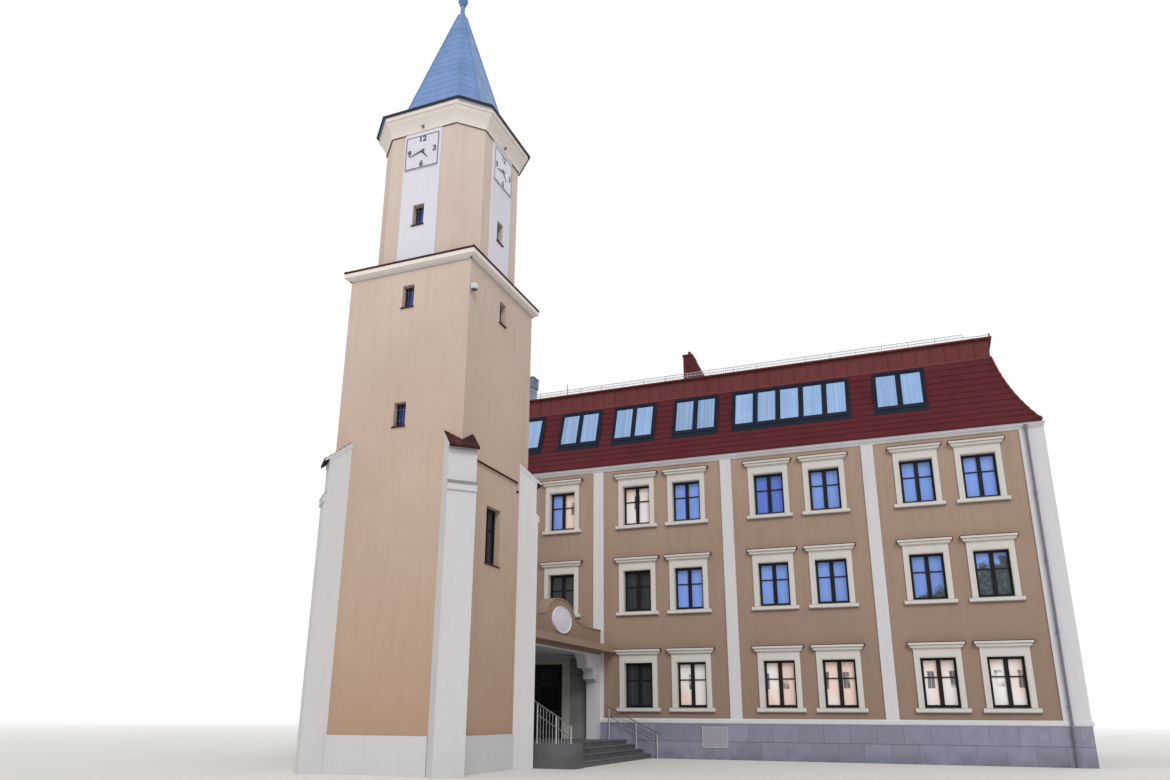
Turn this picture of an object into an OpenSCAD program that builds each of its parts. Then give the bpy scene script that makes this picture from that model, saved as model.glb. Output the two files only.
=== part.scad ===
// Town hall: a five-bay block with a mansard roof, an open porch and a clock tower.
// Millimetres. The drawing grid has X = 0 at the block's right corner, Y = 0 on its front
// wall and Z = 0 on the ground; site() moves it all to the middle of the footprint.

/* [Block] */
// Window bays along the front
bays = 5; // [4:1:7]
// Which bay the porch stands at, counted from the right
porch_bay = 4; // [3:1:4]
// Window bays across each end
end_bays = 2; // [1:1:3]
// Clear width of one bay between pilasters
bay_w = 5060; // [4800:20:6000]
// Width of a pilaster
pil_w = 450; // [300:10:600]
// Width of a corner strip
corner_w = 760; // [600:10:900]
// Thickness of the outside walls
wall_t = 400; // [320:10:500]
// Thickness of a floor slab
floor_t = 300; // [200:10:400]
// Height of the ground floor's top above the ground
floor_1 = 660; // [500:10:800]
// Height of the ground storey, floor to floor
storey_1 = 3790; // [3700:10:4300]
// Height of the first storey, floor to floor
storey_2 = 3570; // [3500:10:4000]
// Height of the second storey, floor to roof foot
storey_3 = 3540; // [3450:10:4000]

/* [Windows] */
// Width of a window opening
win_w = 1180; // [900:10:1300]
// From the middle of a bay to the middle of each window
win_half = 1075; // [1000:5:1200]
// Height of the ground row's sills above their floor
sill_1 = 1180; // [1000:10:1250]
// Height of the first-floor row's sills above their floor
sill_2 = 1110; // [900:10:1200]
// Height of the second-floor row's sills above their floor
sill_3 = 1110; // [900:10:1150]
// Opening height of the ground row
win_h1 = 1710; // [1500:10:1800]
// Opening height of the first-floor row
win_h2 = 1680; // [1400:10:1800]
// Opening height of the second-floor row
win_h3 = 1680; // [1400:10:1800]
// Face width of a surround beside the opening
jamb_w = 190; // [120:5:220]
// Height of the plain frieze over an opening
frieze_h = 290; // [200:5:350]
// Height of the hood moulding
hood_h = 230; // [100:5:260]
// How far the hood spreads past the surround
hood_over = 130; // [60:5:140]
// Height of a sill
sill_h = 150; // [60:5:180]
// How far a sill spreads past the surround
sill_over = 110; // [40:5:140]
// Relief of surrounds and pilasters
relief = 60; // [30:5:90]
// How far a sill stands out
sill_out = 120; // [80:5:180]
// Height of a sill's rounded front edge
sill_nose = 30; // [20:5:40]
// From the wall face back to a window frame
frame_back = 180; // [120:5:240]
// Face width of a window frame
frame_w = 80; // [50:5:110]
// Depth of a window frame
frame_t = 70; // [50:5:90]
// Face width of a window's middle post
post_w = 120; // [80:5:160]
// Thickness of a glass unit
glass_t = 24; // [12:2:40]

/* [Plinth and eaves] */
// Height of the stone plinth
plinth_h = 1270; // [1000:10:1500]
// How far the plinth stands out
plinth_out = 60; // [60:5:120]
// Height of the band on the plinth
band_h = 184; // [120:4:240]
// How far that band stands out
band_out = 110; // [90:5:160]
// Height of the eaves moulding below the wall top
eaves_drop = 20; // [10:10:160]
// Height of the eaves moulding above the wall top
eaves_lift = 200; // [120:10:300]
// How far the eaves stand out
eaves_out = 110; // [80:5:200]
// Diameter of a downpipe
pipe_d = 85; // [60:5:140]
// Clear gap between a downpipe and the band on the plinth
pipe_gap = 15; // [10:5:40]
// Distance between the clips of a downpipe
clip_step = 2400; // [1500:100:3000]
// Height of a clip
clip_h = 45; // [30:5:60]
// Width of the notice board
board_w = 950; // [700:10:1200]
// Height of the notice board
board_h = 730; // [500:10:800]
// Thickness of the notice board
board_t = 35; // [20:5:50]
// Height of the notice board's lower edge
board_z = 420; // [300:10:500]
// How far the notice board stands right of the middle of its bay
board_x = 1440; // [1200:10:1700]

/* [Roof] */
// How far the curved roof leans in
roof_run = 1200; // [800:20:1800]
// Height of the curved roof
roof_rise = 3070; // [2600:10:3600]
// Hollow of the curved roof below its chord
roof_sag = 150; // [60:10:220]
// Height of the roof's edge above the eaves
edge_h = 120; // [60:10:200]
// How far the roof's edge stands out past the wall
edge_out = 20; // [10:5:60]
// Thickness of the roof shell
roof_t = 250; // [200:10:350]
// Height of the upright band on top
crown_h = 850; // [600:10:1100]
// How far the coping of that band stands out
coping_out = 130; // [60:5:180]
// Height of that coping
coping_h = 60; // [40:5:100]
// From the top of the band down to the deck
deck_drop = 150; // [80:10:250]
// Thickness of the deck
deck_t = 200; // [120:10:300]
// Width of one roof light
light_w = 940; // [800:10:1000]
// Foot of the roof lights above the edge of the roof
light_lift = 1130; // [900:10:1300]
// Height of the roof lights, measured upright
light_rise = 1770; // [1400:10:1790]
// Face width of a roof light frame at its sides
light_frame = 150; // [60:5:200]
// Face width of a roof light frame at its top
light_head = 120; // [60:5:200]
// Face width of a roof light frame at its foot
light_foot = 240; // [60:5:300]
// Depth of a roof light frame
light_t = 200; // [150:10:240]
// How far a roof light stands out from its chord
light_out = 40; // [20:5:80]
// Height of the snow guard
guard_h = 260; // [150:10:350]
// Thickness of the snow guard's posts and rails
guard_t = 20; // [12:2:30]
// From the end of the roof's upright band to the snow guard
guard_in = 950; // [0:50:2000]
// Distance between the snow guard's posts
guard_step = 1000; // [800:50:1500]
// How far the chimney stands right of the porch bay's middle
chimney_x = 5970; // [5500:10:6500]
// From the front wall back to the chimney
chimney_y = 2600; // [2200:10:3500]
// Width of the chimney at its foot
chimney_w = 940; // [800:10:1100]
// Width of the chimney at its head
chimney_head = 420; // [350:10:600]
// Depth of the chimney
chimney_d = 800; // [600:10:1000]
// Height of the chimney above the deck
chimney_h = 1950; // [1500:10:2200]
// Height of the chimney's shoulder above the deck
chimney_low = 850; // [600:10:1200]
// Radius of the chimney's flue pipe
flue_r = 70; // [50:5:100]
// Height of that pipe
flue_h = 300; // [200:10:400]
// How far the vent unit stands left of the porch bay's middle
vent_x = 1810; // [1400:10:2200]
// From the front wall back to the vent unit
vent_y = 1700; // [1600:10:2500]
// Width of the vent unit
vent_w = 520; // [400:10:700]
// Depth of the vent unit
vent_d = 500; // [400:10:800]
// Height of the vent unit's body
vent_h = 1080; // [900:10:1400]
// Height of its head
vent_cap_h = 500; // [300:10:600]
// How far that head stands past the body
vent_over = 40; // [20:5:60]
// From the front wall back to the lightning rod
rod_y = 3000; // [2600:10:4000]
// Radius of the lightning rod
rod_r = 18; // [12:1:24]
// Height of the lightning rod above the deck
rod_h = 1510; // [1200:10:2400]

/* [Tower] */
// Side of the square shaft
shaft_w = 4414; // [4200:10:5000]
// From the front wall of the block to the tower's back
tower_gap = 8250; // [7600:10:9000]
// How far the tower's right face stands right of the porch bay's middle
tower_off = 3323; // [3150:1:3400]
// Thickness of the shaft walls
shaft_t = 500; // [400:10:600]
// Top of the shaft
shaft_h = 15300; // [15000:10:16500]
// Height of the shaft cornice
belt_h = 260; // [180:10:400]
// How far the shaft cornice stands out
belt_out = 180; // [120:5:250]
// Height of the tiled slope at the foot of the clock stage
slope_h = 200; // [120:10:300]
// Height of the tower's plinth
foot_h = 1000; // [800:10:1200]
// How far the tower's plinth stands out
foot_out = 40; // [20:5:60]
// Depth of the sunk panel in the tower's sides
panel_in = 60; // [40:5:150]
// Top of that panel
panel_h = 8770; // [8400:10:9200]
// Width of the corbels at that panel's upper corners
corbel_w = 110; // [60:5:200]
// Height of those corbels
corbel_h = 260; // [150:10:400]
// Width of a buttress
butt_w = 840; // [700:10:950]
// How far a buttress stands out past the corner, below its ledge
butt_low = 250; // [210:10:350]
// How far it stands out above its ledge
butt_high = 180; // [120:10:200]
// Height of that ledge
ledge_z = 7550; // [7000:10:8000]
// Height of the ledge's face
nose_h = 180; // [120:5:240]
// How far the ledge stands out past the lower part
nose_out = 45; // [15:5:60]
// How far a buttress cap stands out past the corner
cap_out = 360; // [300:10:500]
// Height of a cap's outer edge
cap_z = 8830; // [8500:10:9200]
// Rise of a cap for each unit inwards
cap_pitch = 0.8; // [0.5:0.05:1.2]
// Height of the white edge strip under a cap
verge_h = 110; // [60:5:160]
// How far that strip stands out
verge_out = 18; // [10:1:24]
// Thickness of a cap
cap_t = 60; // [40:5:120]
// Width of a small tower window
slit_w = 420; // [300:10:500]
// Height of a small tower window
slit_h = 750; // [600:10:900]
// Face width of the frames of the tower's windows
slit_frame = 50; // [35:5:70]
// Width of the large window in the tower's sides
loft_w = 910; // [700:10:1100]
// Height of the large window in the tower's sides
loft_h = 1730; // [1400:10:2000]
// Sill height of that window
loft_z = 5860; // [5400:10:6200]
// Sill height of the lower small windows
slit_low = 9810; // [9500:10:10200]
// From the shaft top down to the middle of the dome camera
cam_drop = 1300; // [900:10:1600]
// Radius of the dome camera
cam_r = 115; // [80:5:150]
// From the shaft top down to the sills of the upper small windows
slit_drop = 1540; // [1450:10:2200]

/* [Clock stage and spire] */
// How far the clock stage stands back from the shaft
stage_in = 250; // [180:10:320]
// Cut of the clock stage's corners
stage_cut = 703; // [600:5:800]
// Thickness of the stage walls
stage_t = 350; // [280:10:400]
// Height of the stage from the shaft top to the eaves of the spire
stage_h = 5860; // [5600:10:6500]
// Height of the stage cornice
crest_h = 720; // [500:10:900]
// How far the stage cornice stands out
crest_out = 316; // [250:4:400]
// Width of the white strips under the clocks
strip_w = 1410; // [1300:10:1600]
// Thickness of those strips
strip_t = 30; // [15:5:60]
// Side of a clock dial
dial_w = 1270; // [1000:10:1290]
// Thickness of a clock dial
dial_t = 40; // [20:5:60]
// Height of a dial's middle below the stage cornice
dial_drop = 825; // [800:5:980]
// Sill height of the stage windows above the shaft top
slot_up = 1540; // [1400:10:1700]
// Radius of a clock spindle
spindle_r = 16; // [10:1:20]
// Length of a minute hand
minute_l = 480; // [400:10:560]
// Length of an hour hand
hour_l = 340; // [280:10:390]
// Hour shown by the clocks
clock_hour = 4; // [0:1:11]
// Minute shown by the clocks
clock_minute = 42; // [0:1:59]
// Height of the spire above its eaves
spire_h = 5920; // [5000:10:7000]
// How far the spire's eaves stand past the stage walls
spire_out = 353; // [330:1:420]
// Height of the flare at the spire's foot
flare_h = 490; // [300:10:700]
// From the spire's eaves in to where its straight sides would end
flare_in = 539; // [400:1:600]
// Thickness of the spire's shell
spire_t = 140; // [100:10:180]
// Half width of the spire at its tip
tip_r = 131; // [100:1:160]
// Radius of the ball on the spire
ball_r = 187; // [140:1:240]
// From the spire's tip to the middle of the ball
ball_up = 720; // [600:10:900]

/* [Porch and entrance] */
// From the porch bay's middle to the outer face of each gable wall
porch_half = 2845; // [2700:5:2900]
// Thickness of the gable walls
gable_t = 430; // [350:10:500]
// Underside of the porch roof
soffit_z = 3870; // [3700:10:3900]
// Height of the gable's crest above the underside
crest_up = 1740; // [1500:10:2000]
// Height of the gable's shoulders above the underside
shoulder_up = 975; // [850:5:1100]
// Thickness of the porch roof
canopy_t = 300; // [200:10:350]
// How far the ledge outside the gable stands out
ledge_out = 640; // [500:10:700]
// Height of the ledge's face
ledge_h = 250; // [180:10:300]
// Half length of the oval shield
oval_a = 830; // [600:10:950]
// Half height of the oval shield
oval_b = 475; // [350:5:550]
// Width of a pier
pier_w = 430; // [300:10:500]
// How far a pier's bracket reaches
bracket_l = 1580; // [1400:10:1800]
// Height of a bracket
bracket_h = 1040; // [900:10:1200]
// Steps up to the porch
risers = 4; // [3:1:5]
// Depth of a tread
tread = 330; // [300:5:380]
// How far the landing reaches past the gable wall
landing = 1075; // [800:5:1300]
// Thickness of the stair's side wall
flank_t = 600; // [300:10:700]
// From the tower's back to that wall
flank_in = 250; // [200:10:400]
// Height of that wall above the landing
flank_up = 60; // [30:5:120]
// Width of the entrance opening
door_w = 2360; // [2000:10:2500]
// Face width of the door frame
door_jamb = 80; // [60:5:110]
// Depth of the door frame
door_deep = 100; // [80:5:140]
// Height of a pull handle's lower end above the foot of its leaf
handle_z = 900; // [800:10:1000]
// Length of a pull handle
handle_l = 600; // [400:10:800]
// Height of a door leaf
leaf_h = 2150; // [2000:10:2300]
// Thickness of a door leaf
leaf_t = 60; // [45:5:75]
// Running gap round a door leaf
door_gap = 10; // [9:0.5:12]
// Face width of the door surround
arch_w = 320; // [200:10:350]
// Diameter of a railing post
rail_d = 42; // [30:1:60]
// Height of a handrail at its upper end
rail_h = 1200; // [1000:10:1300]
// How far a handrail runs past its end posts
rail_over = 120; // [60:5:160]
// From a handrail down to the lower rail
rail_drop = 350; // [250:10:500]
// Fall of the handrail on the side wall
near_fall = 0.58; // [0.45:0.01:0.6]
// Fall of the handrail on the steps
far_fall = 0.47; // [0.35:0.01:0.55]
// From the edge of the landing back to the first post on the side wall
near_back = 200; // [150:10:300]
// From the foot of the steps back to the last post on the side wall
near_short = 60; // [40:10:120]
// From the edge of the landing back to the first post on the landing
far_back = 620; // [400:10:800]
// From the foot of the steps to the last post in front of them
far_past = 330; // [200:10:500]
// From the side wall's outer face to its railing
near_in = 60; // [40:5:150]
// From the front wall to the railing on the steps
far_in = 300; // [200:10:500]

/* [Hidden] */

bay_step = bay_w + pil_w;
block_l = bays * bay_w + (bays - 1) * pil_w + 2 * corner_w;
block_d = end_bays * bay_w + (end_bays - 1) * pil_w + 2 * corner_w;
floor_2 = floor_1 + storey_1;
floor_3 = floor_2 + storey_2;
wall_h = floor_3 + storey_3;
sills = [floor_1 + sill_1, floor_2 + sill_2, floor_3 + sill_3];
heights = [win_h1, win_h2, win_h3];
lintel_z = sills[0] + win_h1;
band_z = plinth_h + band_h;
porch_x = -corner_w - bay_w / 2 - (porch_bay - 1) * bay_step;
gable_x = porch_x + porch_half;
half = shaft_w / 2;
tower_x = porch_x + tower_off - half;
tower_y = -tower_gap - half;
stage_half = half - stage_in;
stage_top = shaft_h + stage_h;
crest_z = stage_top - crest_h;
dial_z = crest_z - dial_drop;
eaves_z = wall_h + eaves_lift;
crown_z = eaves_z + edge_h + roof_rise;
roof_top = crown_z + crown_h;
deck_z = roof_top - deck_drop;
cap_lip = 25;
slit_up = shaft_h - slit_drop;
eps = 1;
mid_x = -block_l / 2;
y_low = tower_y - half - (cap_out + butt_w / 2 + cap_lip) * sqrt(0.5);
y_high = block_d + max(eaves_out, relief + hood_over, band_out + pipe_gap + pipe_d);
mid_y = (y_low + y_high) / 2;
door_x = porch_x - door_w / 2;
leaf_w = (door_w - 2 * door_jamb - 3 * door_gap) / 2;
leaf_z = floor_1 + door_gap;
head_z = leaf_z + leaf_h + door_gap;
door_y = 150;
dial_y = -stage_half - strip_t - dial_t;
hand_t = 10;
hand_gap = 8;
minute_a = clock_minute * 6;
hour_a = (clock_hour + clock_minute / 60) * 30;
flank_y = -tower_gap + flank_in;
riser = floor_1 / risers;
stair_x = gable_x + landing;
FINE = 48;

// Everything is drawn on the grid and moved so that the footprint is centred.
module site() { translate([-mid_x, -mid_y, 0]) children(); }

// Places children on a wall: x runs along it, outwards is -y. 0 front, 1 right, 2 back, 3 left.
module on_wall(side) {
    if (side == 0) translate([-block_l, 0, 0]) children();
    if (side == 1) rotate(90) children();
    if (side == 2) translate([0, block_d, 0]) rotate(180) children();
    if (side == 3) translate([-block_l, block_d, 0]) rotate(-90) children();
}
function wall_bays(side) = side % 2 == 0 ? bays : end_bays;
function wall_l(side) = side % 2 == 0 ? block_l : block_d;
function bay_x(j) = corner_w + bay_w / 2 + j * bay_step;

// Repeats children at every window of a wall, with $h as the opening's height.
module at_windows(side, rows) {
    on_wall(side)
        for (r = rows, j = [0 : wall_bays(side) - 1], s = [-1, 1])
            if (side != 0 || r > 0 || j != bays - porch_bay) {
                $h = heights[r];
                translate([bay_x(j) + s * win_half, 0, sills[r]]) children();
            }
}

// Solid between rings of points; the rings close on themselves or end in flat caps.
module skin(rings, loop = false) {
    n = len(rings);
    m = len(rings[0]);
    last = loop ? n - 1 : n - 2;
    sides = [for (i = [0 : last], j = [0 : m - 1])
        [i * m + j, i * m + (j + 1) % m, (i + 1) % n * m + (j + 1) % m, (i + 1) % n * m + j]];
    caps = loop ? [] : [[for (j = [m - 1 : -1 : 0]) j], [for (j = [0 : m - 1]) (n - 1) * m + j]];
    faces = [for (f = concat(sides, caps)) [for (k = [len(f) - 1 : -1 : 0]) f[k]]];
    polyhedron([for (r = rings) each r], faces);
}

// Mitred moulding: profile points [out, z] carried round the corners that path(out) gives.
module moulding(path, profile) {
    corners = len(path(0));
    skin([for (k = [corners - 1 : -1 : 0])
        [for (p = profile) let (c = path(p[0])[k]) [c[0], c[1], p[1]]]], true);
}

// Upright solid with flat ends through the outlines that path(size) gives at each z.
module loft(path, levels) {
    skin([for (p = levels) [for (c = path(p[0])) [c[0], c[1], p[1]]]]);
}
block_path = function (o) [[-block_l - o, -o], [o, -o], [o, block_d + o], [-block_l - o, block_d + o]];
shaft_path = function (o) let (h = half + o) [[-h, -h], [h, -h], [h, h], [-h, h]];
function octagon(h, c) = [[c - h, -h], [h - c, -h], [h, c - h], [h, h - c],
    [h - c, h], [c - h, h], [-h, h - c], [-h, c - h]];
stage_path = function (o) octagon(stage_half + o, stage_cut + o * (2 - sqrt(2)));
spire_path = function (r) octagon(r, r * stage_cut / stage_half);

module tower() { translate([tower_x, tower_y, 0]) children(); }
module four_sides() { for (k = [0 : 3]) rotate(90 * k) children(); }

// The block: walls, floors, plinth, windows and eaves
module opening_row(side, rows) {
    at_windows(side, rows) translate([-win_w / 2, -eps, 0]) cube([win_w, wall_t + 2 * eps, $h]);
}

// The ground row's openings run up to the upper wall, which spans them and the entrance.
module ground_wall(x0, x1) {
    site() color("peru") difference() {
        translate([x0, 0, 0]) cube([x1 - x0, wall_t, lintel_z]);
        opening_row(0, [0]);
        translate([0, 0, eps]) opening_row(0, [0]);
    }
}
module ground_wall_left() { ground_wall(-block_l, door_x); }
module ground_wall_right() { ground_wall(door_x + door_w, 0); }

module upper_front_wall() {
    site() color("burlywood") difference() {
        translate([-block_l, 0, lintel_z]) cube([block_l, wall_t, wall_h - lintel_z]);
        opening_row(0, [1, 2]);
    }
}

module back_wall() {
    site() color("burlywood") difference() {
        translate([-block_l, block_d - wall_t, 0]) cube([block_l, wall_t, wall_h]);
        opening_row(2, [0, 1, 2]);
    }
}

module end_walls() {
    site() color("tan") difference() {
        for (x = [-block_l, -wall_t]) translate([x, wall_t, 0]) cube([wall_t, block_d - 2 * wall_t, wall_h]);
        opening_row(1, [0, 1, 2]);
        opening_row(3, [0, 1, 2]);
    }
}

module floors() {
    site() color("gray") for (z = [floor_1, floor_2, floor_3, wall_h])
        translate([wall_t - block_l, wall_t, z - floor_t])
            cube([block_l - 2 * wall_t, block_d - 2 * wall_t, floor_t]);
}

// The plinth and its band stop at the porch, which stands against the wall there.
module porch_gap() {
    translate([porch_x - porch_half, -block_d / 2, -eps])
        cube([2 * porch_half, block_d / 2, band_z + 2 * eps]);
}

module plinth() {
    site() color("lightsteelblue") difference() {
        linear_extrude(plinth_h) difference() {
            polygon(block_path(plinth_out));
            polygon(block_path(0));
        }
        porch_gap();
    }
}

module plinth_band() {
    site() color("ivory") difference() {
        moulding(block_path, [[0, plinth_h], [band_out - 25, plinth_h], [band_out, plinth_h + 30],
            [band_out, band_z - 50], [relief, band_z], [0, band_z]]);
        porch_gap();
    }
}

module pilasters() {
    top = wall_h - eaves_drop;
    site() color("ivory") {
        for (side = [0 : 3], j = [0 : wall_bays(side) - 2]) if (wall_bays(side) > 1)
            on_wall(side) translate([bay_x(j) + bay_w / 2, -relief, band_z])
                cube([pil_w, relief, top - band_z]);
        difference() {
            translate([0, 0, band_z]) linear_extrude(top - band_z) difference() {
                polygon(block_path(relief));
                polygon(block_path(0));
            }
            for (side = [0 : 3]) on_wall(side) translate([corner_w, -2 * relief, 0])
                cube([wall_l(side) - 2 * corner_w, 4 * relief, wall_h]);
        }
    }
}

module surround() {
    outer = win_w / 2 + jamb_w;
    hood = outer + hood_over;
    top = $h + frieze_h;
    rise = hood_h * 0.6;
    rotate([90, 0, 0]) linear_extrude(relief) difference() {
        translate([-outer, 0]) square([2 * outer, top]);
        translate([-win_w / 2, -eps]) square([win_w, $h + eps]);
    }
    // hood with mitred ends
    intersection() {
        translate([0, 0, top]) rotate([90, 0, 0]) linear_extrude(relief + hood_over)
            polygon([[-outer, 0], [outer, 0], [hood, rise], [hood, hood_h], [-hood, hood_h], [-hood, rise]]);
        translate([-hood, 0, top]) rotate([90, 0, 90]) linear_extrude(2 * hood) polygon([[0, 0], [-relief, 0],
            [-relief - hood_over, rise], [-relief - hood_over, hood_h], [0, hood_h]]);
    }
    translate([-outer - sill_over, 0, -sill_h]) rotate([90, 0, 90]) linear_extrude(2 * (outer + sill_over))
        polygon([[0, 0], [sill_nose - sill_out, 0], [-sill_out, sill_nose],
            [-sill_out, sill_h - sill_nose / 2], [0, sill_h]]);
}

module window_surrounds() {
    door_h = lintel_z - floor_1;
    head = min(arch_w, soffit_z - lintel_z - 20);
    site() color("white") {
        for (side = [0 : 3]) at_windows(side, [0, 1, 2]) surround();
        translate([porch_x, 0, floor_1]) rotate([90, 0, 0]) linear_extrude(relief) difference() {
            translate([-door_w / 2 - arch_w, 0]) square([door_w + 2 * arch_w, door_h + head]);
            translate([-door_w / 2, -eps]) square([door_w, door_h + eps]);
        }
    }
}

// Frame with a middle post, as wide as the opening, standing on the line y.
module casement(w, h, bar, post) {
    rotate([90, 0, 0]) linear_extrude(frame_t) difference() {
        translate([-w / 2, 0]) square([w, h]);
        for (s = post > 0 ? [-1, 1] : [0]) {
            clear = post > 0 ? (w - post) / 2 - bar : w - 2 * bar;
            translate([s * (post + clear) / 2 - clear / 2, bar]) square([clear, h - 2 * bar]);
        }
    }
}

module window_frames() {
    site() color("saddlebrown") for (side = [0 : 3]) at_windows(side, [0, 1, 2])
        translate([0, frame_back + frame_t, 0]) casement(win_w, $h, frame_w, post_w);
}

module window_glass() {
    site() color("skyblue") {
        for (side = [0 : 3]) at_windows(side, [0, 1, 2])
            translate([-win_w / 2, frame_back + frame_t, 0]) cube([win_w, glass_t, $h]);
        translate([door_x + door_jamb, door_y + door_deep / 2, head_z + door_jamb])
            cube([door_w - 2 * door_jamb, glass_t, lintel_z - head_z - 2 * door_jamb]);
    }
}

module eaves_cornice() {
    site() color("ivory") moulding(block_path, [[0, wall_h - eaves_drop], [25, wall_h - eaves_drop],
        [35, wall_h - eaves_drop + 40], [eaves_out * 0.7, eaves_z - 90], [eaves_out, eaves_z - 60],
        [eaves_out, eaves_z], [0, eaves_z]]);
}

// Pipes stand clear of the band on clips, in the middle of the corner strips.
module downpipes() {
    out = band_out + pipe_gap + pipe_d / 2;
    r = pipe_d / 2;
    x = corner_w * 0.7;
    site() color("darkgray") {
        for (side = [0, 2], s = [0, 1]) on_wall(side) translate([s == 0 ? x : block_l - x, 0, 0]) {
            translate([0, -out, 40]) cylinder(r = r, h = eaves_z - 120, $fn = FINE);
            for (z = [band_z + clip_step / 6 : clip_step : wall_h - clip_step / 4])
                translate([-r - 12, -out, z]) cube([2 * r + 24, out - relief, clip_h]);
            translate([-15, -out, plinth_h - 300]) cube([30, out - plinth_out, clip_h]);
        }
        translate([gable_x + ledge_out - 265, flank_y + flank_t - 150, floor_1 + flank_up])
            cylinder(d = pipe_d * 0.8, h = soffit_z + 80 - floor_1 - flank_up, $fn = FINE);
    }
}

module notice_board() {
    site() color("silver") translate([porch_x + bay_step + board_x, -plinth_out - board_t, board_z])
        cube([board_w, board_t, board_h]);
}

// The roof: each curved slope is an arc that starts at the roof's edge and steepens upwards.
roof_chord = sqrt(roof_run ^ 2 + roof_rise ^ 2);
roof_r = (roof_chord / 2) ^ 2 / (2 * roof_sag) + roof_sag / 2;
roof_mid = atan2(roof_rise, roof_run);
roof_half = asin(roof_chord / 2 / roof_r);
ROOF_STEPS = 6;
function roof_a(i) = roof_mid - roof_half + 2 * roof_half * i / ROOF_STEPS;
foot_z = eaves_z + edge_h;
roof_line = [for (i = [0 : ROOF_STEPS]) let (a = roof_a(i))
    [roof_r * (sin(a) - sin(roof_a(0))), foot_z + roof_r * (cos(roof_a(0)) - cos(a))]];
roof_inside = [for (i = [ROOF_STEPS : -1 : 0]) [roof_line[i][0] + roof_t, roof_line[i][1]]];
roof_profile = concat([[0, wall_h], [0, eaves_z], [-edge_out, eaves_z], [-edge_out, foot_z - edge_out]],
    roof_line, roof_inside, [[roof_t, wall_h]]);
// Roof lights lie on the chord between these two heights.
light_z = foot_z + light_lift;
function roof_angle(z) = acos(cos(roof_a(0)) - (z - foot_z) / roof_r);
function roof_inset(z) = roof_r * (sin(roof_angle(z)) - sin(roof_a(0)));
light_run = roof_inset(light_z + light_rise) - roof_inset(light_z);
light_a = atan2(light_rise, light_run);
light_l = sqrt(light_rise ^ 2 + light_run ^ 2);
pane_w = light_w - 2 * light_frame;
pane_l = light_l - light_foot - light_head;
// Middle of each group from the right end of its slope, and its number of lights
light_groups = [[4650, 2], [8945, 5], [12940, 2], [15730, 2], [18300, 2], [21120, 2], [23970, 2]];

// One slope: its profile drawn along the wall and mitred at both hips.
module roof_side(side) {
    l = wall_l(side);
    deep = roof_run + 2 * roof_t;
    wide = 2 * eaves_out;
    on_wall(side) intersection() {
        translate([-eaves_out, 0, 0]) rotate([90, 0, 90]) linear_extrude(l + wide) polygon(roof_profile);
        linear_extrude(crown_z + roof_t)
            polygon([[-wide, -wide], [l + wide, -wide], [l - deep, deep], [deep, deep]]);
    }
}

module at_lights(side) {
    on_wall(side) for (g = light_groups) if (g[0] + g[1] * light_w / 2 < block_l - roof_run - roof_t) {
        $n = g[1];
        translate([block_l - g[0] - g[1] * light_w / 2, roof_inset(light_z), light_z])
            rotate([light_a, 0, 0]) children();
    }
}

module at_panes() {
    for (k = [0 : $n - 1]) translate([k * light_w + light_frame, light_foot, 0]) children();
}

module light_hole() { translate([0, 0, light_out - light_t]) cube([$n * light_w, light_l, light_t]); }

module mansard_long(side) {
    site() color("firebrick") difference() {
        roof_side(side);
        at_lights(side) translate([0, 0, -2 * roof_t]) cube([$n * light_w, light_l, 3 * roof_t]);
    }
}
module mansard_front() { mansard_long(0); }
module mansard_back() { mansard_long(2); }
module mansard_ends() { site() color("brown") for (side = [1, 3]) roof_side(side); }

module roof_crown() {
    site() color("maroon") moulding(block_path, [[-roof_run - roof_t, crown_z], [-roof_run, crown_z],
        [-roof_run, roof_top - coping_h], [coping_out - roof_run, roof_top - coping_h],
        [coping_out - roof_run, roof_top], [-roof_run - roof_t, roof_top]]);
}

module roof_deck() {
    inset = roof_run + roof_t;
    site() color("dimgray") translate([inset - block_l, inset, deck_z - deck_t])
        cube([block_l - 2 * inset, block_d - 2 * inset, deck_t]);
}

module roof_light_frames() {
    site() color("darkslategray") for (side = [0, 2]) at_lights(side) difference() {
        light_hole();
        at_panes() translate([0, 0, light_out - light_t - eps]) cube([pane_w, pane_l, light_t + 2 * eps]);
    }
}

module roof_light_glass() {
    site() color("lightblue") for (side = [0, 2]) at_lights(side) at_panes()
        translate([0, 0, light_out - 60 - glass_t]) cube([pane_w, pane_l, glass_t]);
}

module snow_guard() {
    inset = roof_run - coping_out + 3 * guard_t;
    long = block_l - 2 * (inset + guard_in);
    gaps = round(long / guard_step);
    site() color("black") for (side = [0, 2]) on_wall(side) translate([inset + guard_in, inset, roof_top]) {
        for (k = [0 : gaps]) translate([(long - guard_t) * k / gaps, 0, 0]) cube([guard_t, guard_t, guard_h]);
        for (z = [guard_h * 0.45, guard_h - guard_t]) translate([0, 0, z]) cube([long, guard_t, guard_t]);
    }
}

module chimney() {
    site() color("maroon") translate([porch_x + chimney_x, chimney_y + chimney_d, deck_z]) {
        rotate([90, 0, 0]) linear_extrude(chimney_d) polygon([[0, 0], [0, chimney_h],
            [chimney_head, chimney_h], [chimney_w, chimney_low], [chimney_w, 0]]);
        translate([chimney_head / 2, -chimney_d / 2, chimney_h]) cylinder(r = flue_r, h = flue_h, $fn = FINE);
    }
}

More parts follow.
